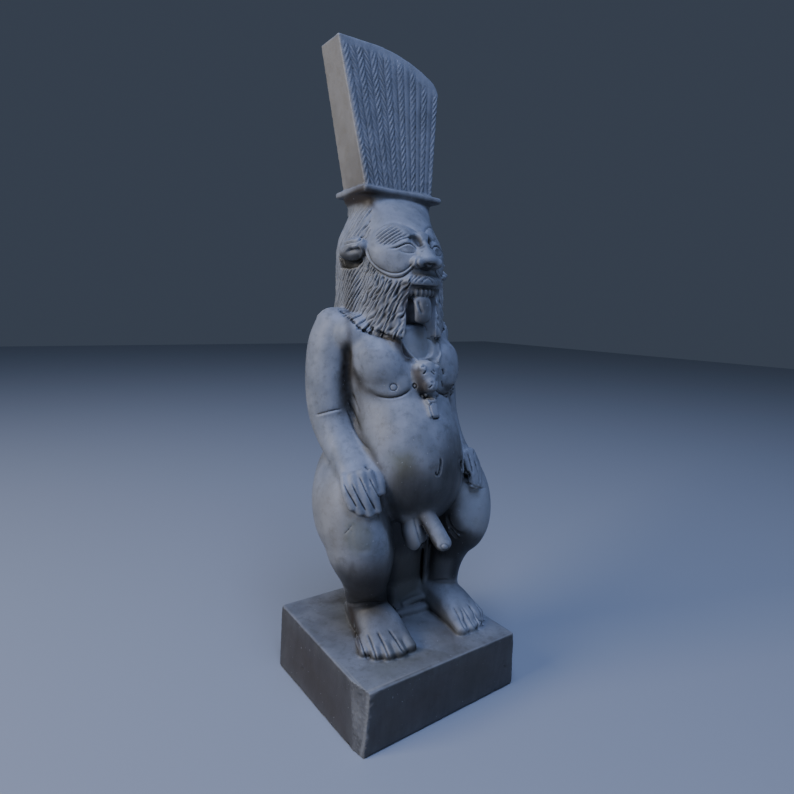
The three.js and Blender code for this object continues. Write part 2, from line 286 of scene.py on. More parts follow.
head = {
    "brow": [
        (1.5, 19, 256, 22.5, 16), (1.5, 15, 250, 22.5, 18.5), (0.3, 11, 243, 21.3, 21.7),
        (-0.8, 7, 236, 21.8, 25),
    ],
    "jaw": [(-0.5, 3.5, 228, 23.3, 27.3), (-0.2, 3, 217, 23.6, 28), (0, 2.5, 206, 23.8, 28)],
    "crest": [(0, 17, 250, 21, 16), (0, 16, 240, 25.5, 17), (0, 16, 229, 29, 17.5)],
    "cape": [(0, 15.5, 216, 29.1, 18), (0, 15, 203, 28.5, 19), (0, 16, 192, 28.7, 19)],
    "beard": [
        (-0.2, 3.5, 215, 24, 26.7), (0, 2.5, 207, 24.2, 27.7), (0, 2, 200, 24.6, 28.2),
        (0, 1.5, 192, 25.4, 28.6),
    ],
    "neck": [(1.2, 18, 247, 22.5, 17), (1.4, 18.5, 253, 23.2, 16), (1.2, 19, 258, 26, 16.5)],  # the crown's
}
hem = {  # the beard's lower edge
    "drop": 13.5,
    "locks": ((0.8, 11.5, 0), (0.6, 7.3, 1)),  # how deep, how many and where they start
}


def hemDrop(angle, t):  # it drops to the front in uneven locks
    front = np.clip(np.sin(angle), 0, 1)
    locks = sum(deep * np.abs(np.sin(many * angle + start)) for deep, many, start in hem["locks"])
    return t**2 * (hem["drop"] * front**0.7 + locks * np.minimum(1, front * 4))


mass = bmesh.new()
addLimb(mass, head["brow"] + head["jaw"], sides=64, power=2.2, dome=0.1, level=True)
addLimb(mass, head["crest"] + head["cape"], sides=64, power=3.2, dome=0.15)
addLimb(mass, head["beard"], sides=160, power=2.2, dome=0.1, level=True, sink=hemDrop)
addLimb(mass, head["neck"], power=4, dome=0.1)
for side, half in halves.items():
    addLump(mass, *half["cheek"], side=side)
headForm = skinOver(mass, "head")
print("soft masses made")

# finer masses
details = {
    "toeSpread": {"middle": 27, "root": 0.85, "joint": 0.96},
    "fingers": (
        [(47, -22, 105, 2.6, 2.6), (48.6, -27, 98, 2.7, 2.7), (47.2, -30.5, 90.5, 2.5, 2.4)],
        [(43.5, -25, 106, 2.9, 2.7), (44.8, -29.3, 98, 3, 2.7), (43.2, -32.4, 88, 2.8, 2.4)],
        [(39.3, -26.5, 107, 3, 2.8), (40, -31, 98, 3.1, 2.7), (38.6, -33.8, 86.7, 2.8, 2.4)],
        [(35.3, -26.5, 107, 3, 2.8), (35.3, -31.2, 98, 3, 2.7), (33.8, -33.8, 87.8, 2.8, 2.4)],
        [(31.5, -20, 110, 3.4, 3.4), (29.6, -26.5, 104, 3.3, 3.2), (29.8, -31, 96.5, 2.8, 2.7)],
    ),
    "farFingers": {  # narrower, drawn in towards the thumb, then moved
        "thumb": (29.8, 0, 0, 0, 0), "scale": (0.56, 1, 1, 0.88, 0.88), "move": (0, 1.5, 4.5, 0, 0),
    },
    "nostril": ((5.6, -26.2, 218.6), (4, 4, 3.2)),
    "nearEar": ((27.6, 5.5, 226.1), (6, 11.7, 5.5), (-6, 0, 0)),
    "farEar": [(24.6, 6, 224, 4.5, 3.6), (27, 1, 219, 4.4, 3.6), (29.2, -3, 213.6, 3, 2.6)],
    "strap": [(12, -17, 180, 5, 1.7), (10.3, -20.8, 173, 4.8, 1.5), (8, -22, 167, 4, 1.2)],
    "lobes": (
        ((-7.8, -26.8, 69.3), (5.4, 7.5, 13), (8, -8, 0)),
        ((-1.8, -27, 70), (4.8, 6.6, 9.6), (8, 4, 0)),
    ),
    "shaft": [(-5.2, -26, 86.5, 5.2, 4.8), (-2.4, -35.5, 79, 5.1, 5), (1.3, -45, 66.3, 5, 4.9)],
    "nose": [
        (0, -18.6, 233, 5, 3), (0, -21.8, 227, 5.4, 3.6), (0, -25.4, 222, 5.8, 4), (0, -28.2, 219.4, 6, 3.6),
    ],
    "lip": ((0, -19.4, 209), (14, 9, 4.7)),
    "pendant": (
        ((1.2, -27, 158), (7.6, 6.6, 9.2), (-12, 0, 0)), ((1.2, -30.2, 158.6), (6.8, 4, 7.6), (-8, 0, 0)),
        ((1, -32.6, 153.6), (4.9, 3.6, 4.5)),
    ),
    "tag": [(1.8, -30.4, 145.5, 3.3, 3), (2.1, -33.6, 136, 3.3, 3)],
    "skinRim": [
        (19.2, 3.5, -2, 1.7, 2), (18.8, 3, 12, 1.5, 2), (19.3, 2.5, 24, 1.5, 2),
        (19.6, 0, 42, 1.6, 2), (18.5, -3, 56, 1.6, 2),
    ],
    "skinFolds": (
        [(-11, 0, 0.8, 3, 2.8), (-3, -1, 2, 3.3, 2.7), (6, -1.6, 2.6, 3.2, 2.7), (16, -1.8, 2.6, 2.5, 2.5)],
        [(1, 1.4, 6.6, 2, 1.8), (8, 0.8, 8.4, 2.3, 1.9), (17, 0.6, 9, 2.2, 1.8)],
        [(-2, 5.5, 3, 4, 4), (8, 5.5, 7, 4.5, 5), (18, 5, 9, 4.5, 5)],
    ),
}
mass = asMass(torso, headForm)
for side, half in halves.items():
    out, spread = half["footOut"], details["toeSpread"]
    middle = spread["middle"]
    for x, y, r in half["toes"]:
        root = (middle + (x - middle) * spread["root"] + out, -20, 5, r, r)
        joint = (middle + (x - middle) * spread["joint"] + out, y + 9, 4.5, r, r)
        addLimb(mass, [root, joint, (x + out, y + 3.5, 2.5, r, r * 0.9)], side, sides=16)
    for finger in details["fingers"]:
        if side == farSide:
            thumb, scale, move = (np.array(details["farFingers"][k]) for k in ("thumb", "scale", "move"))
            finger = (np.array(finger) - thumb) * scale + thumb + move
        addLimb(mass, finger, side, sides=16)
    addLump(mass, *half["eye"], side=side)
    addLump(mass, *details["nostril"], side=side)
    if side == nearSide:
        addLump(mass, *details["nearEar"], side=side)
    addLump(mass, *half["pendantEar"], side=side)
    addLimb(mass, details["strap"], side, sides=16)
addLimb(mass, details["farEar"], sides=24)
for lump in details["lobes"]:
    addLump(mass, *lump)
addLimb(mass, details["shaft"], sides=24)
addLimb(mass, details["nose"], sides=24)
for lump in (details["lip"], *details["pendant"]):
    addLump(mass, *lump)
for limb in (details["skinRim"], *details["skinFolds"]):
    addLimb(mass, limb, sides=16)
addLimb(mass, details["tag"], sides=24, power=6, dome=0.1)

crown = {
    "lipSize": (53.4, 35.0, 4.0), "lipAt": (0.8, 18.6, 258), "lipRound": 1.7, "lipTilt": 1.3,
    "footHalf": 22.5, "topHalf": 34.5,
    "frontFoot": 5.2, "frontTop": 17.0, "rearFoot": 31.0, "rearTop": 38.0,
    "top": 339.0,
    "arch": 0.0064, "archFrom": -13,  # how fast the broken top edge falls, and from which x
    "cornerDrop": 3, "cornerFrom": 0.9, "cornerOver": 0.1,  # the corner itself, in shares of the half width
}


def rounded(shape, wide, steps):
    edges = shape.edges[:]
    bmesh.ops.bevel(shape, geom=edges, offset=wide, segments=steps, profile=0.5, affect="EDGES", material=-1)


def crownDrop(share):  # how far the top edge has dropped, by its share of the half width
    return crown["arch"] * np.maximum(0, crown["topHalf"] * share - crown["archFrom"]) ** 2


lip = bmesh.new()
bmesh.ops.create_cube(lip, size=1)
bmesh.ops.scale(lip, vec=crown["lipSize"], verts=lip.verts)
tilt = Matrix.Rotation(math.radians(crown["lipTilt"]), 4, "Y")
bmesh.ops.rotate(lip, matrix=tilt, verts=lip.verts)
bmesh.ops.translate(lip, vec=crown["lipAt"], verts=lip.verts)
rounded(lip, crown["lipRound"], 4)
bmesh.ops.subdivide_edges(lip, edges=lip.edges[:], cuts=3, use_grid_fill=True)
addMesh(mass, lip, [v.co for v in lip.verts])

slab = bmesh.new()
bmesh.ops.create_cube(slab, size=2)
bmesh.ops.subdivide_edges(slab, edges=slab.edges[:], cuts=31, use_grid_fill=True)
co = np.array([v.co for v in slab.verts])
corner = np.clip((co[:, 0] - crown["cornerFrom"]) / crown["cornerOver"], 0, 1)
drop = crownDrop(co[:, 0]) + crown["cornerDrop"] * corner
z = stance["crownFoot"] + (co[:, 2] + 1) / 2 * (crown["top"] - drop - stance["crownFoot"])
rise = (z - stance["crownFoot"]) / (crown["top"] - stance["crownFoot"])
front = crown["frontFoot"] + (crown["frontTop"] - crown["frontFoot"]) * rise
rear = crown["rearFoot"] + (crown["rearTop"] - crown["rearFoot"]) * rise
half = crown["footHalf"] + (crown["topHalf"] - crown["footHalf"]) * rise
addMesh(mass, slab, np.column_stack((co[:, 0] * half, front + (co[:, 1] + 1) / 2 * (rear - front), z)))

plinth = {
    "top": ((-52.7, 54), (-54.8, -52.5), (52.8, -53.9), (52.5, 52)),
    "foot": ((-57.3, 47), (-55.3, -50.8), (58.6, -50), (56, 50)),
    "x": (-57.3, 57.8), "y": (-53.6, 53.2),  # how far any corner may reach
    "round": 1.3,
    "wornTo": 37.2,  # the flat top above it stays unworn
    "break": {  # along the near front edge, its sizes at the plinth's foot and at its top
        "wide": (9, 15.4), "deep": (1.4, 2.8), "faceX": (-55.3, -54.8), "faceY": -52,
        "pastX": -40, "to": 38.5,
    },
}
cornerOf = {(-1, 1): 0, (-1, -1): 1, (1, -1): 2, (1, 1): 3}
block = bmesh.new()
bmesh.ops.create_cube(block, size=1)
for v in block.verts:
    corner = cornerOf[(int(math.copysign(1, v.co.x)), int(math.copysign(1, v.co.y)))]
    x, y = plinth["top" if v.co.z > 0 else "foot"][corner]
    x, y = np.clip(x, *plinth["x"]), np.clip(y, *plinth["y"])
    v.co = (x / 1000, y / 1000, stance["plinthHigh"] / 1000 if v.co.z > 0 else 0)
rounded(block, plinth["round"] / 1000, 5)
mesh = bpy.data.meshes.new("block")
block.to_mesh(mesh)
block.free()
mass.from_mesh(mesh)
bpy.data.meshes.remove(mesh)
cast = skinOver(mass, "cast")

# the mouth, cut out, then teeth, tongue and throat put in
mouth = {
    "opening": [
        (0, -26.5, 200, 9.5, 9.5), (0, -26.5, 194, 10.3, 10.5), (0, -25.5, 187, 9.7, 11),
        (0, -25, 179, 10.5, 11), (0, -26, 171, 11, 9),
    ],
    "teeth": {
        "many": 7, "apart": 2.55, "middle": 0.6, "front": -25.6, "curve": 0.045, "high": 203.1,
        "radii": (1.3, 1.7, 2.3),
    },
    "tongue": [
        (0, -14, 202, 5, 3), (0, -23, 199.5, 5.2, 3), (0.3, -25.2, 194, 5.4, 2.7), (0.3, -25, 188.3, 4.7, 2.4),
    ],
    "throat": [
        (0, -8.5, 182, 13.5, 12), (0, -9.2, 178, 14.5, 12.3), (0, -9.5, 170, 15, 12.3), (0, -9.5, 163, 15, 12),
    ],
}
mass = bmesh.new()
addLimb(mass, mouth["opening"], sides=32, dome=0.5)
mesh = bpy.data.meshes.new("opening")
mass.to_mesh(mesh)
mass.free()
opening = bpy.data.objects.new("opening", mesh)
bpy.context.scene.collection.objects.link(opening)
cut = cast.modifiers.new("cut", "BOOLEAN")
cut.operation = "DIFFERENCE"
cut.solver = "MANIFOLD"
cut.object = opening
cast = applied(cast)
bpy.data.objects.remove(opening)
mass = asMass(cast)
teeth = mouth["teeth"]
for i in range(teeth["many"]):
    x = (i - teeth["many"] // 2) * teeth["apart"]
    place = (x + teeth["middle"], teeth["front"] + teeth["curve"] * x * x, teeth["high"])
    addLump(mass, place, teeth["radii"], fineness=3)
addLimb(mass, mouth["tongue"], sides=32)
addLimb(mass, mouth["throat"], sides=48, dome=0.25)
bes = skinOver(mass, "bes")
print("cast skinned")

# carving: the skin's points are moved along its outward directions
skin = {}
cells = {  # to tell what the camera sees
    "size": 2,  # pixels
    "across": 400,
    "behind": 4,  # mm that a point may lie behind the nearest of its cell
    "facing": 0.08,  # the least that it may be turned to the camera
}


def readSkin(body):
    mesh = body.data
    count = len(mesh.vertices)
    places = np.empty(count * 3, np.float32)
    mesh.vertices.foreach_get("co", places)
    outward = np.empty(count * 3, np.float32)
    mesh.vertices.foreach_get("normal", outward)
    skin["at"] = toFigure(places.reshape(-1, 3))
    turn = turnAt(skin["at"][:, 2])
    east, north, rise = outward.reshape(-1, 3).T
    x = east * np.cos(turn) + north * np.sin(turn)
    y = north * np.cos(turn) - east * np.sin(turn)
    skin["out"] = np.column_stack((x, y, rise))
    skin["straight"] = look(skin["at"], skin["out"], np.zeros(count, int))
    side = (skin["at"][:, 0] > 0).astype(int)
    flip = np.column_stack((1 - 2 * side, np.ones(count), np.ones(count)))
    skin["mirrored"] = look(skin["at"] * flip, skin["out"] * flip, side)


def look(at, out, group):  # pixel of each point, and whether the camera sees it past its own group
    pixel, far = inView(at)
    turn = turnAt(at[:, 2])
    towards = camera["place"] - toPlace(at)
    towards = towards / np.linalg.norm(towards, axis=1)[:, None]
    east = out[:, 0] * np.cos(turn) - out[:, 1] * np.sin(turn)
    north = out[:, 0] * np.sin(turn) + out[:, 1] * np.cos(turn)
    facing = east * towards[:, 0] + north * towards[:, 1] + out[:, 2] * towards[:, 2]
    cell = np.clip(pixel / cells["size"], 0, cells["across"] - 1).astype(int)
    spot = (group * cells["across"] + cell[:, 0]) * cells["across"] + cell[:, 1]
    nearest = np.full(2 * cells["across"] ** 2, 1e9)
    np.minimum.at(nearest, spot[facing > 0], far[facing > 0])
    return pixel, (facing > cells["facing"]) & (far < nearest[spot] + cells["behind"])


def writeSkin(body):
    body.data.vertices.foreach_set("co", toPlace(skin["at"]).astype(np.float32).ravel())
    body.data.update()


def smooth(value):
    value = np.clip(value, 0, 1)
    return value * value * (3 - 2 * value)


def alongPath(pixel, path):  # distance to a path of pixels and the share of its length
    start, step = path[:-1], np.diff(path, axis=0)
    length = np.maximum((step**2).sum(1), 1e-9)
    gap = pixel[:, None] - start
    share = np.clip((gap * step).sum(2) / length, 0, 1)
    away = np.linalg.norm(gap - share[..., None] * step, axis=2)
    best = away.argmin(1)
    row = np.arange(len(pixel))
    return away[row, best], (best + share[row, best]) / len(step)


def carve(lines, deep, wide, rim=0.0, ends=0.25, view="mirrored", nearOnly=False):
    # grooves (or, with a negative depth, ridges) along lines of pixels, millimetres deep and pixels wide
    pixel, seen = skin[view]
    usable = seen & (skin["at"][:, 0] < 0) if nearOnly else seen
    change = np.zeros(len(pixel))
    reach = 3.2 * wide  # a groove has faded out past it
    for line in lines:
        path = spline(line, np.linspace(0, 1, 6 * len(line)))[0]
        beside = (pixel > path.min(0) - reach).all(1) & (pixel < path.max(0) + reach).all(1)
        close = np.flatnonzero(usable & beside)
        if len(close) == 0:
            continue
        away, share = alongPath(pixel[close], path)
        away = away / wide
        fade = smooth(np.minimum(share, 1 - share) / ends + 0.15) if ends else (away < 3)
        cut = fade * (np.exp(-away**2) - rim * np.exp(-((away - 1.9) / 0.8) ** 2))
        change[close] = np.where(np.abs(cut) > np.abs(change[close]), cut, change[close])
    skin["at"] -= skin["out"] * (change * deep)[:, None]


def within(outline, soft, view="mirrored", hidden=False):  # 1 inside an outline of pixels, with a soft edge
    pixel, seen = skin[view]
    outline = np.array(outline, float)
    beside = (pixel > outline.min(0) - soft).all(1) & (pixel < outline.max(0) + soft).all(1)
    close = np.flatnonzero((seen | hidden) & beside)
    closed = np.vstack((outline, outline[:1]))
    away = alongPath(pixel[close], closed)[0]
    x, y = pixel[close].T
    crossings = np.zeros(len(close), int)
    for (x0, y0), (x1, y1) in zip(closed[:-1], closed[1:]):
        if y0 != y1:
            crossings += ((y0 > y) != (y1 > y)) & (x < x0 + (y - y0) / (y1 - y0) * (x1 - x0))
    inside = np.zeros(len(pixel))
    inside[close] = smooth(0.5 + np.where(crossings % 2 == 1, away, -away) / (2 * soft))
    return inside


def swellWithin(outline, high, soft, view="mirrored"):
    skin["at"] += skin["out"] * (within(outline, soft, view) * high)[:, None]


def roughness(points, scale, seed=0.0):  # Perlin noise, one lump to each scale of millimetres
    return np.array([noise.noise(Vector((x / scale + seed, y / scale, z / scale))) for x, y, z in points])


feathers = {
    "first": -0.91,  # share of the half width at the first feather's barbs
    "apart": 0.263,
    "split": 0.54, "vane": 0.46,  # shares of a feather that have slanting barbs and that are a smooth vane
    "barbs": 3.9,
    "slant": 2.0,
    "crossSlant": -1.8,
    "high": 0.75,
    "from": 260.5,
    "edge": 2,  # bare rim along the top, and over how much the feathers fade below it
    "fade": (4.5, 9),
}


def carveFeathers():
    x, y, z = skin["at"].T
    rise = (z - stance["crownFoot"]) / (crown["top"] - stance["crownFoot"])
    half = crown["footHalf"] + (crown["topHalf"] - crown["footHalf"]) * rise
    u = x / half
    face = smooth((-skin["out"][:, 1] - 0.55) / 0.25) * smooth((z - feathers["from"]) / 1.5)
    edge = crown["top"] - crownDrop(u)
    fade = feathers["fade"][0] + feathers["fade"][1] * smooth((u - 0.3) / 0.5) * smooth((1.02 - u) / 0.3)
    shown = smooth((edge - z - feathers["edge"]) / fade) * smooth((u + 0.985) / 0.05)
    face *= shown * smooth((1.0 - u) / 0.06)
    column = (u - feathers["first"]) / feathers["apart"] + 0.27
    which = np.floor(column)
    f, split = column - which, feathers["split"]
    left, right = np.clip(f / split, 0, 1), np.clip((f - split) / feathers["vane"], 0, 1)
    wander = 0.8 * np.sin(z / 9 + which * 2.1) + 0.5 * np.sin(z / 3.7 + which * 4.3)
    local = (f - 0.5) * feathers["apart"] * half
    slanted, crossed = (
        np.cos(2 * math.pi * (z + wander - slant * local) / feathers["barbs"] + start)
        for slant, start in ((feathers["slant"], which), (feathers["crossSlant"], which * 1.7))
    )
    chevron = np.clip(1 - (which - 2) / 2.5, 0.12, 1)
    bold = 0.9 + 0.2 * np.sin(z / 13 + which * 1.3)
    barbs = np.sin(math.pi * left) ** 0.6 * (1.08 - bold * 0.72 * (0.5 - 0.5 * slanted))
    vane = np.sin(math.pi * right) ** 0.6 * (0.74 + 0.34 * chevron * bold * (crossed - 0.5))
    relief = np.where(f < split, barbs, vane) * feathers["high"]
    skin["at"] += skin["out"] * (face * (relief - 0.35 * feathers["high"]))[:, None]


hair = {
    "spread": (  # how far the locks turn outwards for each millimetre down, by degrees round the head
        (0, 0.3), (15, 0.46), (22, 0.59), (31, 0.64), (42, 0.85), (54, 1.3), (75, 1.35),
        (105, 1.0), (150, 0.3), (180, 0),
    ),
    "apart": 4.7,  # degrees round the head between locks
    "deep": 1.9,
    "top": 252, "foot": 189.5, "drop": 13.5, "combedFrom": 210,
    "strands": 1.45, "lean": 0.17,  # shorter strands lie across the locks
    "front": [
        (338, 205), (373, 206), (371, 222), (371, 232), (366, 240), (361, 248), (365, 258), (369, 264),
        (374, 269.5), (381, 275), (388, 279), (395, 281), (403, 279.5), (409, 277), (411, 284), (409, 290),
        (408, 300), (404, 318), (402, 346), (325, 346), (325, 205),
    ],
    "ear": [
        (334, 250), (338, 244), (345, 241), (356, 239.5), (361, 238), (365, 243), (366.5, 251), (364, 257),
        (363, 262), (358, 267.5), (349, 269.5), (341, 268), (335, 260),
    ],
}


def carveHair():
    x, y, z = skin["at"].T
    front = within(hair["front"], 1.2) * (z < hair["top"]) * (z > 172)
    angle = np.degrees(np.arctan2(np.abs(x), 8 - y))
    outside = np.hypot(x, y - 10) > 17
    lowest = hair["foot"] - hair["drop"] * np.clip(np.cos(np.radians(angle)), 0, 1) ** 0.7
    front *= smooth((z - lowest) / 1.5) * smooth((hair["top"] - z) / 6) * (np.hypot(x / 34, (y - 6) / 35) < 1)
    behind = smooth((angle - 97) / 6) * smooth((z - 186) / 3) * smooth((hair["top"] - z) / 4) * outside
    behind *= skin["out"][:, 2] > -0.75
    mask = np.maximum(front, behind) * (1 - within(hair["ear"], 1.5, hidden=True) * (angle < 110))
    combed = np.flatnonzero(mask > 0.01)
    turn, drop = angle[combed], hair["combedFrom"] - z[combed]
    low, high = np.zeros(len(turn)), np.full(len(turn), 180.0)
    angles, spread = np.array(hair["spread"], float).T
    for _ in range(18):  # which lock each point lies in, by halving
        middle = (low + high) / 2
        over = middle + np.interp(middle, angles, spread) * drop > turn
        low, high = np.where(over, low, middle), np.where(over, middle, high)
    lock = middle / hair["apart"]
    grain = np.column_stack((lock * 1.6, np.sign(x[combed]) * 9, drop / 3.4))
    calm = 1 - 0.45 * smooth((turn - 62) / 20)
    lock = lock + 0.75 * calm * roughness(grain, 2.3)
    high = drop < -8
    strength = 0.95 + 1.1 * roughness(grain, 2.2, 7)
    strength = np.clip(strength, np.where(high, 0.7, 0.45), np.where(high, 0.95, 1.25))
    ridge = (0.5 + 0.5 * np.cos(2 * math.pi * lock)) ** 0.75
    strand = lock * hair["strands"] - hair["lean"] * calm * drop + 0.6 * calm * roughness(grain, 1.5, 3)
    strandRidge = (0.5 + 0.5 * np.cos(2 * math.pi * strand)) ** 0.7
    deep = hair["deep"] * np.where(high, 0.62, 1) * np.where(turn > 100, 0.8, 1)
    relief = mask[combed] * deep * strength * (0.6 * ridge + 0.4 * calm * strandRidge - 0.55)
    skin["at"][combed] += skin["out"][combed] * relief[:, None]


undercut = {
    "high": -2.4, "soft": 1.2,
    "outline": [
        (339, 257), (345, 260), (351, 261.5), (357, 260.5), (361.5, 257.5), (362, 261.5), (357, 266.5),
        (349, 268.5), (341, 267),
    ],
}
ear = {
    "ring": {
        "deep": -1.0, "wide": 1.8,
        "lines": [[(339.8, 247.5), (341.5, 254), (347, 257.8), (354, 258.8), (359.5, 256.6), (363.3, 251)]],
    },
    "hollow": {
        "deep": 2.8, "wide": 3.1,
        "lines": [[(346.5, 248.8), (350.5, 251.4), (356, 251.3), (360.3, 248.3)]],
    },
    "bump": {
        "deep": -0.8, "wide": 1.3,
        "lines": [[(351, 246.9), (354.5, 246.1), (358, 245.8)]],
    },
    "fold": {
        "deep": 1.0, "wide": 0.9, "rim": 0.35,
        "lines": [[(341.5, 247), (345, 243.8), (351, 242), (357, 241), (360.5, 239), (362, 236)]],
    },
}
readSkin(bes)
carveFeathers()
swellWithin(**undercut)
for stroke in ear.values():
    carve(**stroke)
carveHair()
writeSkin(bes)
print("feathers and hair carved")

# the face, in lines of the camera's pixels; the mirrored ones are carved on both halves
cheekDome = {
    "high": 0.9, "soft": 7,
    "outline": [
        (370, 248), (374, 260), (382, 268), (393, 271.5), (403, 269.5), (411, 262), (414, 254), (398, 250),
        (388, 247),
    ],
}
face = {
    "rim": {
        "deep": -0.6, "wide": 1.4, "ends": 0.12,
        "lines": [[
            (365.3, 247), (367.6, 255.8), (371.6, 262.6), (377.8, 268.3), (385, 272.5), (391.5, 274.8),
            (398.5, 274.9), (404.5, 272.7), (409.9, 268.5), (415.5, 262),
        ]],
    },
    "disc": {
        "deep": 0.7, "wide": 0.95, "ends": 0.12,
        "lines": [[
            (367, 246), (369, 255), (373, 262), (379.5, 267.5), (387, 271.3), (394, 272.8), (401, 272),
            (406, 269.5), (410.5, 265.5), (415, 259),
        ]],
    },
    "rimOut": {
        "deep": 0.8, "wide": 1.1, "ends": 0.12,
        "lines": [[
            (363.5, 248), (366, 256.5), (370, 263), (376, 269), (383, 273.7), (390, 276.7), (396, 277.6),
            (403, 276), (409, 271.5), (415.5, 265),
        ]],
    },
    "arch": {
        "deep": 0.6, "wide": 0.9,
        "lines": [[
            (373, 236), (376, 230.5), (381, 226.5), (388, 223.3), (397, 222.8), (406, 225.3), (414, 229.5),
            (421, 236),
        ]],
    },
    "brow": {
        "deep": 0.85, "wide": 0.95, "rim": 0.1,
        "lines": [
            [(391, 224.5), (384, 228.3), (378, 233), (374, 237)],
            [(396, 225.3), (388, 229.7), (380.5, 235.3), (374.5, 240.5)],
            [(400, 226.8), (392, 231), (383, 237), (375.5, 243.5)],
            [(402.5, 229), (395, 233), (386.5, 238.6), (377, 245.7)],
            [(404, 232), (397, 235.2), (389.5, 240.3), (381.5, 246.8)],
            [(409, 234.3), (401, 236.5), (393.5, 240.5), (385, 247)],
            [(413, 236.5), (405, 237.7), (397.5, 240.8), (388.5, 246.6)],
        ],
    },
    "browHollow": {
        "deep": 1.7, "wide": 4.2,
        "lines": [[(408.5, 237), (414, 238.3), (418.5, 241.8), (421.5, 246.5)]],
    },
    "browEdge": {
        "deep": -0.5, "wide": 1.4,
        "lines": [[(409, 234.8), (415, 233.4), (420, 236), (423.5, 241)]],
    },
    "lidLine": {
        "deep": 0.95, "wide": 0.9, "rim": 0.25,
        "lines": [[
            (388, 248.8), (396, 247.6), (402, 245), (406.5, 243.3), (411, 243.3), (415, 246), (417.5, 250.5),
        ]],
    },
    "lowerLid": {
        "deep": 0.4, "wide": 0.9, "rim": 0.2,
        "lines": [[(399, 250), (404, 252.3), (410, 253), (416, 252)]],
    },
    "innerCorner": {
        "deep": 0.45, "wide": 0.8,
        "lines": [
            [(417.5, 249.8), (422, 247.6), (427, 246)],
            [(420, 252), (424, 250)],
        ],
    },
    "wing": {
        "deep": 0.7, "wide": 1.1, "rim": 0.15,
        "lines": [[(418.3, 257), (416.5, 261), (417.2, 265), (420.5, 268)]],
    },
    "underNose": {
        "deep": 0.6, "wide": 1.5,
        "lines": [[(419, 268.3), (424, 269.8), (431, 270.4), (438, 271.5)]],
    },
    "nostril": {
        "deep": 1.4, "wide": 1.5,
        "lines": [[(423.5, 266.3), (428, 264.6), (433, 265.6)]],
    },
    "moustache": {
        "deep": 0.5, "wide": 0.8, "rim": 0.2,
        "lines": [
            [(413.5, 275), (411, 278.5), (408.5, 282)],
            [(418, 274.8), (414.5, 278.3), (411, 281.8)],
            [(422.5, 275.5), (418.5, 278.5), (415, 282.3)],
            [(428, 276.8), (424.3, 279.6), (421, 283)],
            [(433.5, 278.3), (430.5, 281), (427.5, 284)],
        ],
    },
    "lipEdge": {
        "deep": -0.4, "wide": 1.0,
        "lines": [[(409.5, 283.2), (417, 283.7), (425, 284.3), (433, 285.5), (440, 287.6)]],
    },
    "lipLine": {
        "deep": 0.8, "wide": 1.0,
        "lines": [[(410.5, 285.3), (417, 286), (425, 286.6), (433, 287.6), (440, 289.6)]],
    },
    "beardHem": {
        "deep": 0.9, "wide": 1.5, "ends": 0.1,
        "lines": [[
            (338, 309), (345, 314), (352, 320), (361, 329), (370, 333), (380, 336), (389, 338.5), (396, 342),
        ]],
    },
    "tongueGroove": {
        "deep": 0.9, "wide": 1.5, "view": "straight",
        "lines": [[(418.5, 300), (420, 307), (423, 315)]],
    },
    "tongueRidge": {
        "deep": -0.4, "wide": 1.3, "view": "straight",
        "lines": [[(414.5, 299), (416.5, 306), (419, 313)]],
    },
}
readSkin(bes)
swellWithin(**cheekDome)
for stroke in face.values():
    carve(**stroke)
writeSkin(bes)
print("face carved")

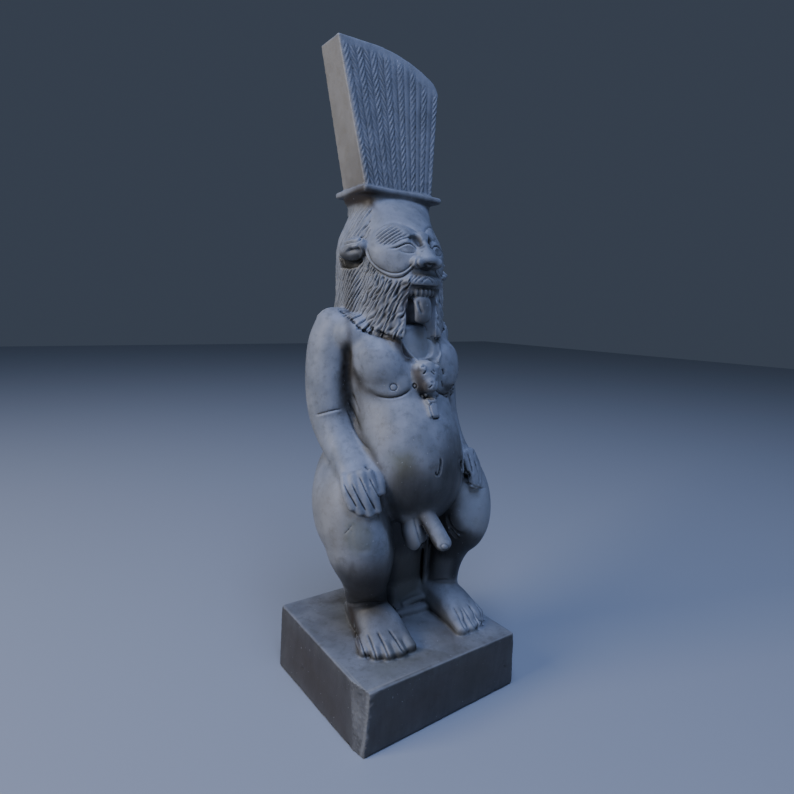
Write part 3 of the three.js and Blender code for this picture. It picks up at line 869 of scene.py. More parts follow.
# chest, arms and hands
seam = {  # left rough in the casting, between arm and flank
    "soft": 3, "lumps": 1.8, "high": 0.4,
    "outline": [
        (342, 348), (347, 350), (350, 372), (349, 396), (354, 412), (362, 430), (356, 430), (347, 412),
        (343, 396), (341, 372),
    ],
}
breast = {
    "high": 0.9, "soft": 4.5,
    "outline": [
        (352, 354), (353, 366), (358, 379), (366, 389), (376, 394.5), (386, 396.3), (396, 396), (404, 392.5),
        (410, 387.5), (411, 378), (404, 364), (395, 352), (382, 346), (366, 346),
    ],
}
chest = {
    "underBreast": {
        "deep": 0.9, "wide": 1.3, "rim": 0.1, "ends": 0.35,
        "lines": [[
            (370, 391), (377, 395.3), (386, 397.3), (395, 397), (403, 394.5), (409, 390.5), (412.5, 386.5),
        ]],
    },
    "armpit": {
        "deep": 1.7, "wide": 4.2, "ends": 0.4,
        "lines": [[(344, 344), (347.5, 350), (348, 360), (346, 375), (345, 390), (345, 404)]],
    },
    "flankFolds": {
        "deep": 0.4, "wide": 1.0, "rim": 0.4,
        "lines": [
            [(348, 398), (352, 408), (357, 420), (361, 432)],
            [(352, 392), (356, 402), (360, 415)],
            [(345, 405), (350, 417), (355, 430), (362, 442), (372, 452)],
        ],
    },
    "nipples": {
        "deep": 0.6, "wide": 0.65, "ends": 0, "view": "straight",
        "lines": [
            [
                (393.5, 383.4), (396.4, 385), (396.8, 388.4), (394.5, 390.4), (391, 389.8), (390, 386.5),
                (391.3, 384), (393.5, 383.4),
            ],
            [
                (452, 383.6), (454.3, 385), (454.6, 388), (452.6, 389.6), (450, 388.6), (449.8, 385.6),
                (452, 383.6),
            ],
        ],
    },
    "farBreast": {
        "deep": 0.9, "wide": 1.2, "view": "straight",
        "lines": [[(440.5, 389), (444.5, 395.5), (449.5, 396.3), (454.5, 391.5)]],
    },
    "navel": {
        "deep": 0.9, "wide": 1.0, "rim": 0.15, "ends": 0.15, "view": "straight",
        "lines": [[(440.5, 457), (441, 463), (440, 470), (438.5, 475), (436.5, 474), (436.5, 471)]],
    },
    "elbow": {
        "deep": 0.8, "wide": 0.9, "nearOnly": True,
        "lines": [[(315, 415), (322, 413), (332, 410.5), (343, 408.5)]],
    },
    "forearm": {
        "deep": -0.3, "wide": 1.8, "nearOnly": True,
        "lines": [[(317, 417), (325, 415), (335, 412.3), (344, 410.5)]],
    },
    "fingers": {
        "deep": 0.8, "wide": 0.8, "rim": 0.1, "ends": 0.15, "view": "straight",
        "lines": [
            [(343.5, 483), (348, 492), (353, 501), (357, 508)],
            [(351.5, 483), (356.5, 493), (361.5, 503), (366.5, 512)],
            [(358.5, 476), (364, 487), (370, 499), (376, 511)],
            [(369.5, 478), (373, 485), (377, 492), (380, 498)],
        ],
    },
    "farFingers": {
        "deep": 0.9, "wide": 0.9, "view": "straight",
        "lines": [
            [(467, 451), (469.5, 459), (471.5, 467), (473, 474.5)],
            [(474, 458), (477, 467), (479.5, 476), (480, 484)],
        ],
    },
    "farThumb": {
        "deep": 1.8, "wide": 2.2, "view": "straight",
        "lines": [[(461, 457), (463, 465), (466, 472), (470, 477.5)]],
    },
    "farTips": {
        "deep": 0.8, "wide": 1.1, "view": "straight",
        "lines": [[(463, 481), (471, 484.5), (479, 487.5), (487, 488)]],
    },
    "dimple": {
        "deep": 0.6, "wide": 1.4,
        "lines": [[(364.5, 466), (367, 468), (369, 470.5)]],
    },
}
readSkin(bes)
inSeam = within(seam["outline"], seam["soft"])
rough = np.flatnonzero(inSeam > 0.01)
lumps = inSeam[rough] * roughness(skin["at"][rough], seam["lumps"], 6) * seam["high"]
skin["at"][rough] += skin["out"][rough] * lumps[:, None]
swellWithin(**breast)
for stroke in chest.values():
    carve(**stroke)

pendant = {
    "strapEdges": {
        "deep": -0.7, "wide": 1.1, "rim": 0.08, "ends": 0.1,
        "lines": [
            [(400.5, 338), (405.5, 347.5), (411.5, 355.5), (418.5, 362)],
            [(438, 342), (438.7, 350), (439.7, 355), (438, 359.5), (437.5, 363)],
        ],
    },
    "earRim": {
        "deep": -0.6, "wide": 1.3,
        "lines": [[(411, 366.3), (417, 364.5), (423, 363), (430, 362.8), (436, 364)]],
    },
    "earLow": {
        "deep": -0.5, "wide": 1.1,
        "lines": [[(422, 372), (424.5, 370.3), (426, 368.8)]],
    },
    "ears": {
        "deep": 1.1, "wide": 1.3,
        "lines": [
            [(421, 367.3), (423, 366.3), (425.5, 367)],
            [(441.5, 368.5), (443, 371.5), (443, 375.5)],
        ],
    },
    "eyesAndMouth": {
        "deep": 0.7, "wide": 0.75, "rim": 0.2,
        "lines": [
            [(431, 370.8), (433, 372.8), (435.5, 375)],
            [(433, 369.3), (434.5, 371), (436, 372)],
            [(423, 374.5), (424.8, 372.5), (425.6, 370)],
            [(429, 388.3), (431, 386.6), (433, 384.6)],
        ],
    },
    "noseAndBeard": {
        "deep": 0.6, "wide": 0.9,
        "lines": [
            [(431, 382), (433, 382), (434.5, 383.3)],
            [(436.3, 378), (437, 383), (435.8, 388)],
            [(440.5, 380), (441.5, 383), (441.8, 388)],
        ],
    },
    "bead": {
        "deep": 0.6, "wide": 0.8, "rim": 0.4, "ends": 0.05,
        "lines": [[(412.5, 386), (414.2, 383.8), (416.4, 385.6), (415.2, 388.2), (412.5, 386)]],
    },
    "under": {
        "deep": 1.0, "wide": 1.8,
        "lines": [[(418, 391.5), (424, 396), (431, 398.3), (438, 396), (441, 392)]],
    },
    "beads": {
        "deep": -0.8, "wide": 1.0, "rim": 0.4, "ends": 0,
        "lines": [
            [(422.8, 395.8), (423.4, 396.3)],
            [(426, 394.7), (426.6, 395.2)],
            [(428.8, 402.8), (429.5, 403.2)],
        ],
    },
    "tag": {
        "deep": 0.6, "wide": 0.8, "rim": 0.15, "ends": 0.1,
        "lines": [
            [(429.2, 405.5), (430.7, 411), (433, 418.3)],
            [(433.3, 418.8), (437, 418.6), (440.2, 417.4)],
        ],
    },
    "tagTop": {
        "deep": 0.5, "wide": 0.9,
        "lines": [[(430, 403.8), (433.5, 402.6), (437, 403)]],
    },
}
for stroke in pendant.values():
    carve(**stroke, view="straight")

legs = {
    "kneecap": {
        "deep": 0.22, "wide": 2.2, "rim": 0.2, "view": "straight",
        "lines": [[(352, 526), (351, 538), (353, 547), (359, 551), (366, 550.5), (371.5, 545)]],
    },
    "faintScratch": {
        "deep": 0.22, "wide": 0.6, "view": "straight",
        "lines": [[(343, 523.5), (348, 529), (354, 533)]],
    },
    "scratch": {
        "deep": 0.42, "wide": 0.55, "view": "straight",
        "lines": [[(353, 524), (348, 530), (343, 535)]],
    },
    "ankle": {
        "deep": 0.5, "wide": 1.3, "rim": 0.4, "view": "straight",
        "lines": [[(345, 602), (354, 604), (365, 602.5), (377, 602), (388, 604)]],
    },
    "toes": {
        "deep": 0.95, "wide": 0.95, "ends": 0.2,
        "lines": [
            [(358, 634), (362, 645), (367.5, 660)],
            [(367, 633), (372, 645), (377.5, 662)],
            [(377, 631), (383, 643), (390, 660)],
            [(388, 629), (396, 640), (405, 654)],
        ],
    },
    "tip": {
        "deep": 0.5, "wide": 0.8, "ends": 0, "view": "straight",
        "lines": [[
            (440.5, 546.5), (443, 544.3), (446.5, 544.6), (448.8, 547), (447.5, 549.8), (443.5, 549.8),
            (440.5, 546.5),
        ]],
    },
    "lobes": {
        "deep": 1.0, "wide": 1.2, "view": "straight",
        "lines": [[(413.5, 516), (416, 526), (419, 536), (421.5, 545)]],
    },
    "shaft": {
        "deep": 0.7, "wide": 1.2, "view": "straight",
        "lines": [[(418, 517), (424, 528), (430, 540), (436, 548.5)]],
    },
    "groin": {
        "deep": 0.8, "wide": 1.4, "rim": 0.4, "view": "straight",
        "lines": [
            [(447, 515), (450, 524), (456, 531), (465, 534.5)],
            [(449, 527), (454, 533), (459, 538)],
        ],
    },
    "farAnkleAndFoot": {
        "deep": 0.5, "wide": 1.1, "rim": 0.3, "view": "straight",
        "lines": [
            [(431, 580.5), (440, 579.5), (451, 580)],
            [(350, 604), (353, 618), (357, 637), (361, 652)],
        ],
    },
    "farToes": {
        "deep": 0.75, "wide": 0.9, "view": "straight",
        "lines": [
            [(452, 605), (457, 613), (462, 623), (468, 633)],
            [(461, 605), (467, 614), (473, 624), (477, 631)],
            [(467, 603), (474, 612), (480, 621), (483, 627)],
        ],
    },
}
for stroke in legs.values():
    carve(**stroke)

casting = {
    "pits": (  # pixel across and down, pixels wide, millimetres deep
        (505, 666, 1.6, 0.6), (495, 690, 1.3, 0.5), (360, 706, 1.6, 0.5), (364, 724, 1.4, 0.5),
        (347, 744, 2.2, 0.7), (459, 727, 1.5, 0.5), (303, 668, 1.1, 0.4),
    ),
    "wear": ((9, 2, 0.35), (2.2, 5, 0.1)),  # lump size, seed, millimetres, of the plinth's edges
    "flatWear": 0.35, "edgeWear": 1.2,
    "breakGrain": ((1.4, 9, 0.6), (4, 4, 0.5)),
    "breakRough": 0.75,
}


def uneven(points, layers):
    return sum(roughness(points, size, seed) * high for size, seed, high in layers)


def wearPlinth():  # edges worn a little uneven and a flake broken from the near front corner; returns where
    east, north, high = (toPlace(skin["at"]) * 1000).T
    low = np.flatnonzero(skin["at"][:, 2] < 1.5)
    wear = uneven(skin["at"][low], casting["wear"])
    flat = (np.abs(skin["out"][low]).max(1) > 0.9) & (skin["out"][low, 2] < 0.5)
    most = np.where(flat, casting["flatWear"], casting["edgeWear"])
    skin["at"][low] += skin["out"][low] * (wear * most * (high[low] < plinth["wornTo"]))[:, None]
    flake = plinth["break"]
    up = high / stance["plinthHigh"]
    wide, deep, faceX = (np.interp(up, (0, 1), flake[k]) for k in ("wide", "deep", "faceX"))
    share = (flake["faceY"] + wide - north) / wide
    close = np.flatnonzero((share > 0) & (east < flake["pastX"]) & (high < flake["to"]))
    rough = uneven(skin["at"][close], casting["breakGrain"])
    cut = faceX[close] + 0.35 + deep[close] * share[close] + rough * casting["breakRough"]
    push = np.clip(cut - east[close], 0, None)
    turn = turnAt(skin["at"][close, 2])
    skin["at"][close, 0] += push * np.cos(turn)
    skin["at"][close, 1] -= push * np.sin(turn)
    broken = np.zeros(len(east))
    broken[close] = smooth(push / 0.3)
    return broken


for x, y, wide, deep in casting["pits"]:
    carve([[(x - 0.4, y), (x + 0.4, y + 0.6)]], deep, wide, ends=0, view="straight")
broken = wearPlinth()
writeSkin(bes)
print("body carved")

# how hollow or raised the skin is, near by, for the patina and the painted shade
readSkin(bes)
count = len(bes.data.vertices)
ends = np.empty(len(bes.data.edges) * 2, np.int32)
bes.data.edges.foreach_get("vertices", ends)
endA, endB = ends.reshape(-1, 2).T
joined = np.bincount(endA, minlength=count) + np.bincount(endB, minlength=count)


def evened(values, times):
    for _ in range(times):
        total = [np.bincount(endA, v[endB], count) + np.bincount(endB, v[endA], count) for v in values.T]
        values = 0.3 * values + 0.7 * np.column_stack(total) / joined[:, None]
    return values


def keepOn(body, name, values):
    attribute = body.data.attributes.new(name, "FLOAT", "POINT")
    attribute.data.foreach_set("value", values.astype(np.float32))


even = evened(skin["at"], 5)
fine = ((even - skin["at"]) * skin["out"]).sum(1)  # millimetres below its surroundings
even = evened(even, 30)
broad = ((even - skin["at"]) * skin["out"]).sum(1)
keepOn(bes, "fine", fine)
keepOn(bes, "broad", broad)
keepOn(bes, "rise", evened(skin["out"], 14)[:, 2])
keepOn(bes, "bare", broken)
stainsAndPaintedLight = {  # where the patina was left thick or thin, and where shade and light are painted on: how much, how soft, which view, its outline in pixels
    # dark: mostly painted shade in hollows, under overhangs and between parts (beside the arm, under the
    # flange, breasts, ear and far thigh, in the brow hollows, eyes and nostrils, on the shins); the rest is
    # darker patina, as on the plinth
    "dark": {
        "besideArm": (0.82, 6, "mirrored", [
            (342, 350), (346, 349), (350, 356), (351, 372), (350, 388), (349, 402), (345, 405), (342, 390),
            (341, 368),
        ]),
        "underFlange": (0.85, 4, "straight", [
            (345, 201), (352, 193), (362, 190), (369, 191), (371, 203), (362, 202), (352, 202),
        ]),
        "lowBelly": (0.6, 24, "straight", [
            (386, 506), (394, 480), (412, 466), (430, 462), (446, 452), (462, 442), (468, 478), (460, 504),
            (442, 518), (420, 524), (398, 526),
        ]),
        "belowNavel": (0.45, 18, "straight", [
            (384, 490), (394, 470), (412, 470), (428, 486), (440, 500), (420, 516), (390, 508),
        ]),
        "tongue": (0.42, 3, "straight", [
            (413, 297), (430, 297), (431, 310), (427, 321), (417, 322), (413, 310),
        ]),
        "flangeEdge": (0.35, 4, "straight", [(372, 187), (440, 198), (441, 204), (432, 206), (372, 193)]),
        "forehead": (0.22, 10, "straight", [
            (374, 196), (430, 204), (430, 226), (410, 224), (386, 222), (372, 226),
        ]),
        "midBeard": (0.4, 8, "straight", [
            (366, 284), (396, 284), (402, 310), (394, 334), (372, 322), (364, 300),
        ]),
        "plinthTop": (0.22, 8, "straight", [
            (283, 604), (365, 694), (513, 632), (470, 634), (420, 612), (395, 612), (412, 650), (360, 656),
            (345, 610),
        ]),
        "plinthTopFront": (0.3, 8, "straight", [(380, 690), (513, 634), (490, 630), (440, 650), (400, 668)]),
        "farBelly": (0.3, 12, "straight", [
            (440, 440), (452, 420), (460, 450), (458, 500), (446, 505), (444, 470),
        ]),
        "brow": (0.2, 3, "mirrored", [
            (374, 236), (380, 228), (392, 223), (404, 226), (410, 233), (396, 240), (384, 247), (376, 244),
        ]),
        "shin": (0.8, 19, "straight", [
            (338, 570), (350, 572), (366, 572), (388, 562), (390, 600), (372, 600), (345, 600),
        ]),
        "ankle": (0.4, 2, "straight", [
            (338, 588), (366, 590), (390, 588), (390, 603), (377, 601.5), (365, 602), (354, 603.5),
            (345, 601.5),
        ]),
        "farCalf": (0.6, 4, "straight", [
            (429, 546), (446, 552), (462, 562), (456, 577), (444, 577), (429, 579),
        ]),
        "underFarThigh": (0.6, 6, "straight", [
            (462, 532), (474, 536), (488, 534), (486, 545), (468, 554), (452, 548), (452, 536),
        ]),
        "underBreast": (0.4, 5, "mirrored", [
            (354, 372), (364, 385), (378, 391), (395, 393), (410, 386), (408, 393), (394, 400), (374, 398),
            (358, 388),
        ]),
        "underFarBreast": (0.6, 3, "straight", [(440, 383), (449, 397), (456, 388), (447, 384)]),
        "browHollow": (0.8, 2.2, "mirrored", [
            (410, 236.5), (414.5, 235), (420, 238), (423, 243), (425, 247), (421, 248.5), (417, 246),
            (413, 241.5),
        ]),
        "eye": (0.42, 1.8, "mirrored", [(403, 246.5), (408, 244.8), (414, 246.2), (416, 250), (409, 251.5)]),
        "nostril": (0.6, 1.6, "mirrored", [(423, 266), (428, 263), (434, 264.5), (432, 268), (424, 270.5)]),
        "teeth": (0.5, 1.5, "straight", [
            (411, 285), (425, 286), (440, 289), (438, 296.5), (425, 296.5), (412, 295.5),
        ]),
        "underEar": (0.85, 1.6, "mirrored", [
            (339, 257.5), (347, 261), (356, 261), (362, 258), (362, 262), (357, 267), (348, 269), (341, 267),
        ]),
        "earToFlank": (0.45, 4, "straight", [
            (340, 250), (352, 262), (356, 262), (350, 410), (362, 430), (350, 400),
        ]),
        "plinthSpot": (0.5, 4, "straight", [(314, 600), (340, 598), (342, 606), (330, 612), (318, 611)]),
        "besideForearm": (0.6, 5, "straight", [
            (350, 396), (362, 430), (376, 452), (384, 470), (380, 470), (366, 452), (352, 428), (345, 405),
        ]),
        "farThumb": (0.8, 3, "straight", [(459, 455), (465, 462), (471, 478), (464, 480), (458, 468)]),
        "calfEdge": (0.3, 3, "straight", [(353, 560), (341, 596), (350, 600)]),
        "beardByMouth": (0.5, 5, "straight", [(395, 284), (408, 281), (409, 300), (404, 312), (396, 300)]),
        "nearFoot": (0.25, 7, "straight", [(352, 604), (378, 604), (412, 640), (408, 656), (362, 658)]),
        "crownFootSide": (0.2, 8, "straight", [(344, 140), (358, 140), (367, 186), (346, 190)]),
    },
    # brown: brown stains; under the flange, beside the arm and the feet, at the mouth's corner, beside the
    # breast and under the beard they are painted shade as well
    "brown": {
        "strap": (0.85, 2, "straight", [
            (390, 335), (398, 336), (404, 347), (411, 356), (413, 363), (405, 360), (397, 350),
        ]),
        "pendantSide": (1.0, 3, "straight", [
            (411, 369), (419, 368), (422, 375), (428, 383), (430, 386), (427, 391), (419, 392), (415, 381),
        ]),
        "underFlange": (1.0, 4, "straight", [
            (341, 203), (350, 192), (362, 186), (371, 188), (375, 208), (362, 205), (350, 205),
        ]),
        "crownSide": (0.35, 7, "straight", [(349, 150), (358, 150), (366, 184), (348, 188)]),
        "onFlange": (0.5, 3, "straight", [(352, 188), (366, 183), (369, 188), (358, 193)]),
        "besideArm": (0.4, 5, "mirrored", [(340, 352), (350, 352), (352, 372), (347, 404), (341, 392)]),
        "plinthLeft": (0.65, 12, "straight", [(280, 606), (352, 686), (353, 757), (280, 664)]),
        "mouthCorner": (0.8, 3, "straight", [
            (405, 286), (412, 290), (411, 322), (416, 326), (406, 324), (403, 306),
        ]),
        "crownFront": (0.25, 6, "straight", [(341, 34), (437, 92), (433, 194), (368, 186)]),
        "plinthRight": (0.45, 10, "straight", [(367, 696), (513, 636), (512, 682), (363, 758)]),
        "shin": (0.35, 8, "straight", [(344, 560), (388, 556), (386, 598), (346, 598)]),
        "breastSide": (0.3, 6, "straight", [
            (352, 354), (353, 366), (358, 379), (366, 389), (376, 395), (374, 399), (362, 392), (350, 372),
        ]),
        "besideFarFoot": (0.6, 2.5, "straight", [
            (424, 603), (430, 603), (438, 619), (452, 632), (460, 637), (448, 639), (433, 622),
        ]),
        "besideNearFoot": (0.8, 2.5, "straight", [
            (347, 606), (353, 606), (360, 632), (362, 654), (356, 652),
        ]),
        "underBeard": (0.5, 4, "straight", [(383, 332), (398, 338), (400, 344), (388, 341), (378, 336)]),
        "plinthLeftPatch": (0.5, 10, "straight", [
            (296, 632), (322, 658), (340, 716), (312, 690), (292, 656),
        ]),
        "plinthRightPatch": (0.5, 10, "straight", [(404, 702), (440, 678), (446, 698), (412, 722)]),
    },
    "green": {
        "knee": (0.6, 4, "straight", [
            (346, 520), (364, 520), (373, 534), (370, 550), (354, 555), (344, 542),
        ]),
        "belly": (1.0, 9, "straight", [(390, 456), (412, 452), (418, 474), (398, 484)]),
        "web": (0.9, 8, "straight", [(392, 548), (424, 552), (422, 598), (394, 600)]),
        "plinthCorner": (0.5, 12, "straight", [(330, 660), (365, 692), (420, 672), (400, 660), (360, 664)]),
        "plinthTop": (0.5, 14, "straight", [(372, 668), (400, 640), (430, 610), (470, 650), (400, 680)]),
        "flank": (0.4, 8, "straight", [(348, 395), (352, 395), (376, 452), (368, 452)]),
        "plinthRight": (0.55, 9, "straight", [(452, 668), (486, 650), (494, 676), (462, 702)]),
        "plinthRightLow": (0.4, 9, "straight", [(384, 716), (398, 704), (404, 726), (386, 742)]),
    },
    "cream": {
        "crownSide": (0.85, 2, "straight", [(319, 44), (340, 34), (368, 184), (341, 192)]),
        "hip": (0.6, 14, "straight", [
            (312, 500), (330, 480), (345, 500), (352, 540), (335, 560), (318, 530),
        ]),
        "ribs": (0.4, 12, "straight", [(366, 404), (384, 404), (396, 430), (384, 450), (366, 430)]),
    },
    # pale: painted light on the lobes, far thigh, far foot and shin, web, folds and throat, which also thins
    # the painted shade there; along the broken plinth edge it is bare plaster
    "pale": {
        "lobes": (1.0, 4, "straight", [(402, 516), (416, 515), (424, 547), (408, 553)]),
        "shaft": (0.25, 4, "straight", [(418, 508), (434, 507), (452, 542), (442, 551), (434, 545)]),
        "brokenEdge": (0.9, 1.2, "straight", [
            (366.5, 696), (369.5, 696), (366, 740), (362, 759), (359, 758), (364, 730),
        ]),
        "straps": (0.9, 2.5, "straight", [
            (402, 338), (405, 336), (421, 358), (437, 360), (438, 366), (418, 366), (408, 352),
        ]),
        "web": (0.45, 8, "straight", [(394, 553), (426, 552), (426, 584), (394, 590)]),
        "farFoot": (0.5, 5, "straight", [
            (426, 581), (452, 581), (462, 596), (482, 618), (474, 636), (456, 638), (426, 606),
        ]),
        "farThigh": (1.0, 7, "straight", [
            (460, 484), (488, 490), (490, 520), (484, 532), (464, 528), (456, 512),
        ]),
        "plinthByFolds": (1.0, 4, "straight", [
            (390, 606), (398, 596), (424, 588), (425, 604), (432, 620), (440, 640), (408, 622), (392, 614),
        ]),
        "folds": (1.0, 4, "straight", [(392, 586), (426, 576), (426, 598), (392, 606)]),
        "throat": (0.9, 4, "straight", [(404, 332), (436, 332), (437, 356), (420, 361), (404, 342)]),
        "farShin": (0.6, 5, "straight", [(436, 556), (452, 560), (450, 580), (428, 580)]),
    },
}


def stainAndLightMask(kind):
    left = np.ones(len(skin["at"]))
    for amount, soft, view, outline in stainsAndPaintedLight[kind].values():
        left *= 1 - amount * within(outline, soft, view)
    return 1 - left


for kind in stainsAndPaintedLight:
    keepOn(bes, kind, stainAndLightMask(kind))
print("hollows read", np.percentile(fine, (2, 50, 98)).round(3), np.percentile(broad, (2, 50, 98)).round(3))

mostTriangles = 190000
thin = bes.modifiers.new("thin", "DECIMATE")
thin.ratio = min(1.0, mostTriangles / (2 * len(bes.data.polygons)))
bes = applied(bes)
bes.data.validate()  # thinning can leave a face twice
bes.data.shade_smooth()
print("triangles", sum(len(p.vertices) - 2 for p in bes.data.polygons))


def blocked(body, grain):  # share of the sky over each point that the cast itself hides, on a coarse skin
    coarse = body.copy()
    coarse.data = body.data.copy()
    bpy.context.scene.collection.objects.link(coarse)
    skin = coarse.modifiers.new("coarse", "REMESH")
    skin.mode = "VOXEL"
    skin.voxel_size = grain / 1000
    coarse = applied(coarse)
    mesh = coarse.data
    at = np.empty(len(mesh.vertices) * 3, np.float32)
    mesh.vertices.foreach_get("co", at)
    at = at.reshape(-1, 3) * 1000
    out = np.empty(len(mesh.vertices) * 3, np.float32)
    mesh.vertices.foreach_get("normal", out)
    out = out.reshape(-1, 3)
    hidden = np.zeros(len(at), np.float32)
    some = 400  # points at a time
    for i in range(0, len(at), some):
        gap = at[None] - at[i:i + some, None]
        square = (gap**2).sum(2) + 1e-6
        leaving = np.einsum("ijk,ik->ij", gap, out[i:i + some])
        arriving = -np.einsum("ijk,jk->ij", gap, out)
        facing = np.clip(leaving, 0, None) * np.clip(arriving, 0, None)
        hidden[i:i + some] = (facing / square / (math.pi * square + grain**2)).sum(1) * grain**2
    tree = kdtree.KDTree(len(at))
    for i, place in enumerate(at):
        tree.insert(place, i)
    tree.balance()
    share = np.empty(len(body.data.vertices), np.float32)
    for v in body.data.vertices:
        near = tree.find_n(v.co * 1000, 4)
        weights = [1 / (d + 0.5) for _, _, d in near]
        share[v.index] = sum(w * hidden[i] for w, (_, i, _) in zip(weights, near)) / sum(weights)
    bpy.data.objects.remove(coarse)
    return np.clip(share, 0, 1)


def kept(body, name):
    values = np.empty(len(body.data.vertices), np.float32)
    body.data.attributes[name].data.foreach_get("value", values)
    return values


# where the patina and the painted shade lie: in hollows and where the cast hides the sky, on undersides, on
# the plinth's sides and in the dark marks
shadeAndWash = {
    "skyGrain": 4.0,  # mm, of the coarse skin that shelter is read on
    "sheltered": 0.82, "hollow": 0.6, "under": 0.62, "plinthSide": 0.6,  # the most that each keeps
    "shelteredUp": 0.82, "hollowUp": 0.5,  # less of it on what faces up
    "shelteredPale": 0.85, "hollowPale": 0.6,  # and less where painted light makes it pale
}
rise = kept(bes, "rise")
pale = kept(bes, "pale")
upward = smooth((rise - 0.15) / 0.5)
places = np.empty(len(bes.data.vertices) * 3, np.float32)
bes.data.vertices.foreach_get("co", places)
high = places.reshape(-1, 3)[:, 2] * 1000
# painted shade together with the patina: darker where the cast hides the sky and in broad hollows, less on
# what faces up and under the pale marks
sheltered = smooth((blocked(bes, shadeAndWash["skyGrain"]) - 0.08) / 0.36)
sheltered *= (1 - shadeAndWash["shelteredUp"] * upward) * (1 - shadeAndWash["shelteredPale"] * pale)
hollow = smooth((kept(bes, "broad") - 0.08) / 0.8)
hollow *= (1 - shadeAndWash["hollowUp"] * upward) * (1 - shadeAndWash["hollowPale"] * pale)
# painted shade on the undersides
under = smooth((-rise - 0.05) / 0.65)
# the plinth's sides darker, partly painted shade and partly patina
plinthSide = smooth((stance["plinthHigh"] - high) / 1.0) * smooth((0.75 - rise) / 0.3)
left = (1 - shadeAndWash["sheltered"] * sheltered) * (1 - shadeAndWash["hollow"] * hollow)
left *= (1 - shadeAndWash["under"] * under) * (1 - shadeAndWash["plinthSide"] * plinthSide) * (1 - kept(bes, "dark"))
keepOn(bes, "washAndShade", 1 - left)
print("wash laid")
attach(bes, "root")
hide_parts("bes_figure")


def linear(hexColour):
    parts = [int(hexColour[i:i + 2], 16) / 255 for i in (1, 3, 5)]
    return (*(c / 12.92 if c <= 0.04045 else ((c + 0.055) / 1.055) ** 2.4 for c in parts), 1)


def addNode(tree, kind, inputs, **settings):
    node = tree.nodes.new(kind)
    for name, value in settings.items():
        setattr(node, name, value)
    for name, value in inputs.items():
        if isinstance(value, bpy.types.NodeSocket):
            tree.links.new(value, node.inputs[name])
        else:
            node.inputs[name].default_value = value
    return node.outputs


# dense casting plaster, poured in a mould, then given a dark patina that was wiped off the raised parts: a
# chalky, nearly matt grey, olive brown where the patina stayed and painted shade is laid, pale where edges
# have worn and painted light is laid
finish = {
    "wiped": "#a2a5aa", "clouded": "#8b8f94", "streaked": "#7d7c74", "mottled": "#6a6b66", "cream": "#a99e88",
    "olive": "#76765c", "thin": "#5f5747", "washedAndShaded": "#2c2b26", "brown": "#42372b", "rubbedAndLit": "#c6c6c2",
    "broken": "#8f8e8b",
    "roughness": 0.5,
    "cloudSize": 14, "mottleSize": 5, "streakSize": 7, "grainSize": 0.9, "speckSize": 1.6,  # mm
    "grainHigh": 0.3, "grainShows": 0.25,  # mm, share
}
cover = {  # from where to where each coat comes in, and its most; for the painted-on marks (stain colours, painted shade and painted light) only the most
    "clouds": (0.35, 0.7), "streaks": (0.45, 0.8, 0.3), "mottles": (0.46, 0.78, 0.65),
    "cream": 0.6, "green": 0.7, "brown": 0.85, "pale": 0.35,
    "streakedWash": (0.2, 0.8, 0.15), "moreWash": 0.08,
    "thinWashAndShade": (0, 0.6, 0.5), "thickWashAndShade": (0.2, 1),
    "hollows": (0.03, 0.26, 0.72), "raised": (0.05, 0.28, 0.4),
    "specks": (0.74, 0.8, 0.5), "broken": (0.2, 0.7, 0.75),
}
plaster = bpy.data.materials.new("patinated casting plaster with painted shade and light")
plaster.use_nodes = True
tree = plaster.node_tree
shader = tree.nodes["Principled BSDF"]
place = addNode(tree, "ShaderNodeTexCoord", {})["Object"]


def noiseOf(size, detail=3.0, rough=0.55, stretch=(1, 1, 1)):
    spread = addNode(tree, "ShaderNodeMapping", {"Vector": place, "Scale": stretch})["Vector"]
    inputs = {"Vector": spread, "Scale": 1000 / size, "Detail": detail, "Roughness": rough}
    return addNode(tree, "ShaderNodeTexNoise", inputs)["Fac"]


def ranged(value, low, high, top=1.0):
    inputs = {"Value": value, "From Min": low, "From Max": high, "To Max": top}
    return addNode(tree, "ShaderNodeMapRange", inputs, interpolation_type="SMOOTHSTEP")["Result"]


def blend(amount, under, over):
    under = linear(under) if isinstance(under, str) else under
    over = linear(over) if isinstance(over, str) else over
    inputs = {0: amount, 6: under, 7: over}
    return addNode(tree, "ShaderNodeMix", inputs, data_type="RGBA", blend_type="MIX")[2]


def reckon(operation, a, b, clamped=False):
    return addNode(tree, "ShaderNodeMath", {0: a, 1: b}, operation=operation, use_clamp=clamped)["Value"]


def times(a, b):
    return reckon("MULTIPLY", a, b)


def read(name):
    return addNode(tree, "ShaderNodeAttribute", {}, attribute_name=name, attribute_type="GEOMETRY")["Fac"]


hollows, bare = read("fine"), read("bare")
clouds = noiseOf(finish["cloudSize"], 4)
streaks = noiseOf(finish["streakSize"], 4, 0.65, (1, 1, 0.16))
mottles = noiseOf(finish["mottleSize"], 6, 0.7)
grain = noiseOf(finish["grainSize"], 2)
specks = noiseOf(finish["speckSize"], 1)
held = ranged(streaks, *cover["streakedWash"])
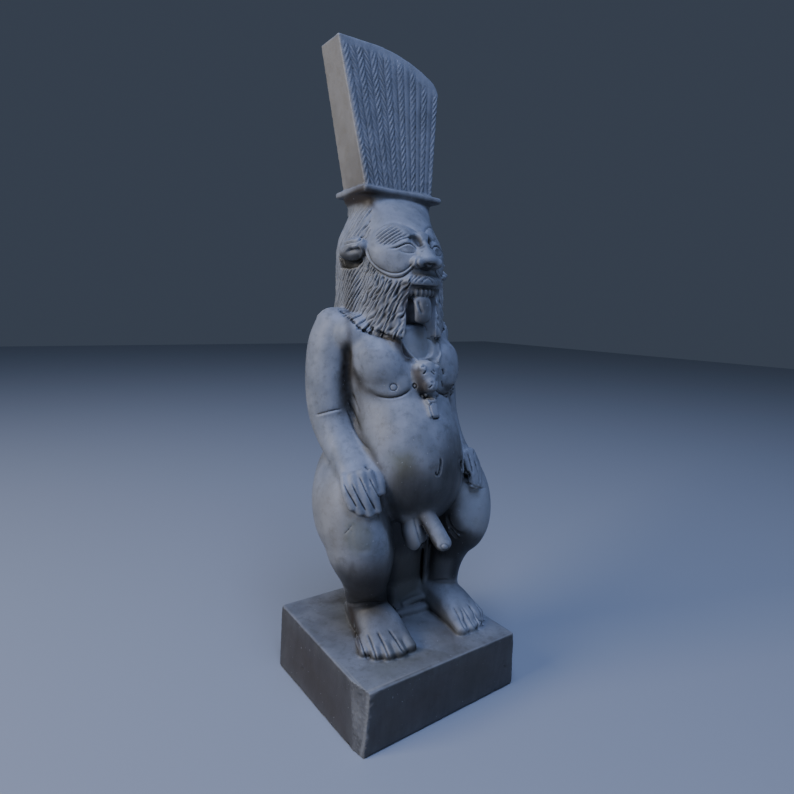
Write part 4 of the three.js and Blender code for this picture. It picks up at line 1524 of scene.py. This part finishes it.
# patina and painted shade together, less under the streaks and a little everywhere
washAndShade = reckon("ADD", reckon("SUBTRACT", read("washAndShade"), held), cover["moreWash"], clamped=True)
coats = (
    (ranged(streaks, *cover["streaks"]), "streaked"),
    (ranged(mottles, *cover["mottles"]), "mottled"),
    (times(read("cream"), cover["cream"]), "cream"),
    (times(read("green"), cover["green"]), "olive"),
    # the patina with its painted shade: olive brown where thin, near black where thick
    (ranged(washAndShade, *cover["thinWashAndShade"]), "thin"),
    (ranged(washAndShade, *cover["thickWashAndShade"]), "washedAndShaded"),
    (ranged(hollows, *cover["hollows"]), "washedAndShaded"),
    (times(read("brown"), cover["brown"]), "brown"),
    (ranged(times(hollows, -1.0), *cover["raised"]), "rubbedAndLit"),
    # painted light: the pale marks take the worn plaster colour
    (times(read("pale"), cover["pale"]), "rubbedAndLit"),
    (ranged(specks, *cover["specks"]), "rubbedAndLit"),
    (times(bare, ranged(clouds, *cover["broken"])), "broken"),
)
tone = blend(ranged(clouds, *cover["clouds"]), finish["wiped"], finish["clouded"])
for amount, colour in coats:
    tone = blend(amount, tone, finish[colour])
tree.links.new(tone, shader.inputs["Base Color"])
shader.inputs["Roughness"].default_value = finish["roughness"]
relief = {"Height": grain, "Strength": finish["grainShows"], "Distance": finish["grainHigh"] / 1000}
tree.links.new(addNode(tree, "ShaderNodeBump", relief)["Normal"], shader.inputs["Normal"])
bes.data.materials.clear()
bes.data.materials.append(plaster)

# stage, light and camera
stage = {
    "floorHalf": 3, "floor": "#b3b7bb", "room": "#8fa0bd", "roomStrength": 0.16,
    "lamps": {  # place, aim, size across, watts, colour
        "skylight": ((-0.3, -0.5, 1.55), (0, 0, 0.2), 0.8, 17.5, "#a6bfff"),
        "side": ((-1.15, 0.1, 0.75), (0, 0, 0.25), 0.6, 8.5, "#f3eeec"),
    },
}
floor = bmesh.new()
bmesh.ops.create_grid(floor, x_segments=1, y_segments=1, size=stage["floorHalf"])
mesh = bpy.data.meshes.new("floor")
floor.to_mesh(mesh)
floor.free()
floor = bpy.data.objects.new("floor", mesh)
bpy.context.scene.collection.objects.link(floor)
paper = bpy.data.materials.new("pale paper")
paper.use_nodes = True
paper.node_tree.nodes["Principled BSDF"].inputs["Base Color"].default_value = linear(stage["floor"])
paper.node_tree.nodes["Principled BSDF"].inputs["Roughness"].default_value = 0.9
mesh.materials.append(paper)

world = bpy.data.worlds.new("room")
bpy.context.scene.world = world
world.use_nodes = True
world.node_tree.nodes["Background"].inputs["Color"].default_value = linear(stage["room"])
world.node_tree.nodes["Background"].inputs["Strength"].default_value = stage["roomStrength"]

for name, (spot, aim, size, watts, colour) in stage["lamps"].items():
    lamp = bpy.data.lights.new(name, "AREA")
    lamp.size = size
    lamp.energy = watts
    lamp.color = linear(colour)[:3]
    light = bpy.data.objects.new(name, lamp)
    light.location = spot
    light.rotation_euler = (Vector(aim) - Vector(spot)).to_track_quat("-Z", "Y").to_euler()
    bpy.context.scene.collection.objects.link(light)

lens = bpy.data.cameras.new("view")
lens.sensor_width = 36
lens.lens = camera["focal"] / camera["frame"] * 36
lens.clip_start = 0.01
eye = bpy.data.objects.new("view", lens)
matrix = Matrix((right, up, back)).transposed().to_4x4()
matrix.translation = Vector(camera["place"])
eye.matrix_world = matrix
bpy.context.scene.collection.objects.link(eye)
bpy.context.scene.camera = eye
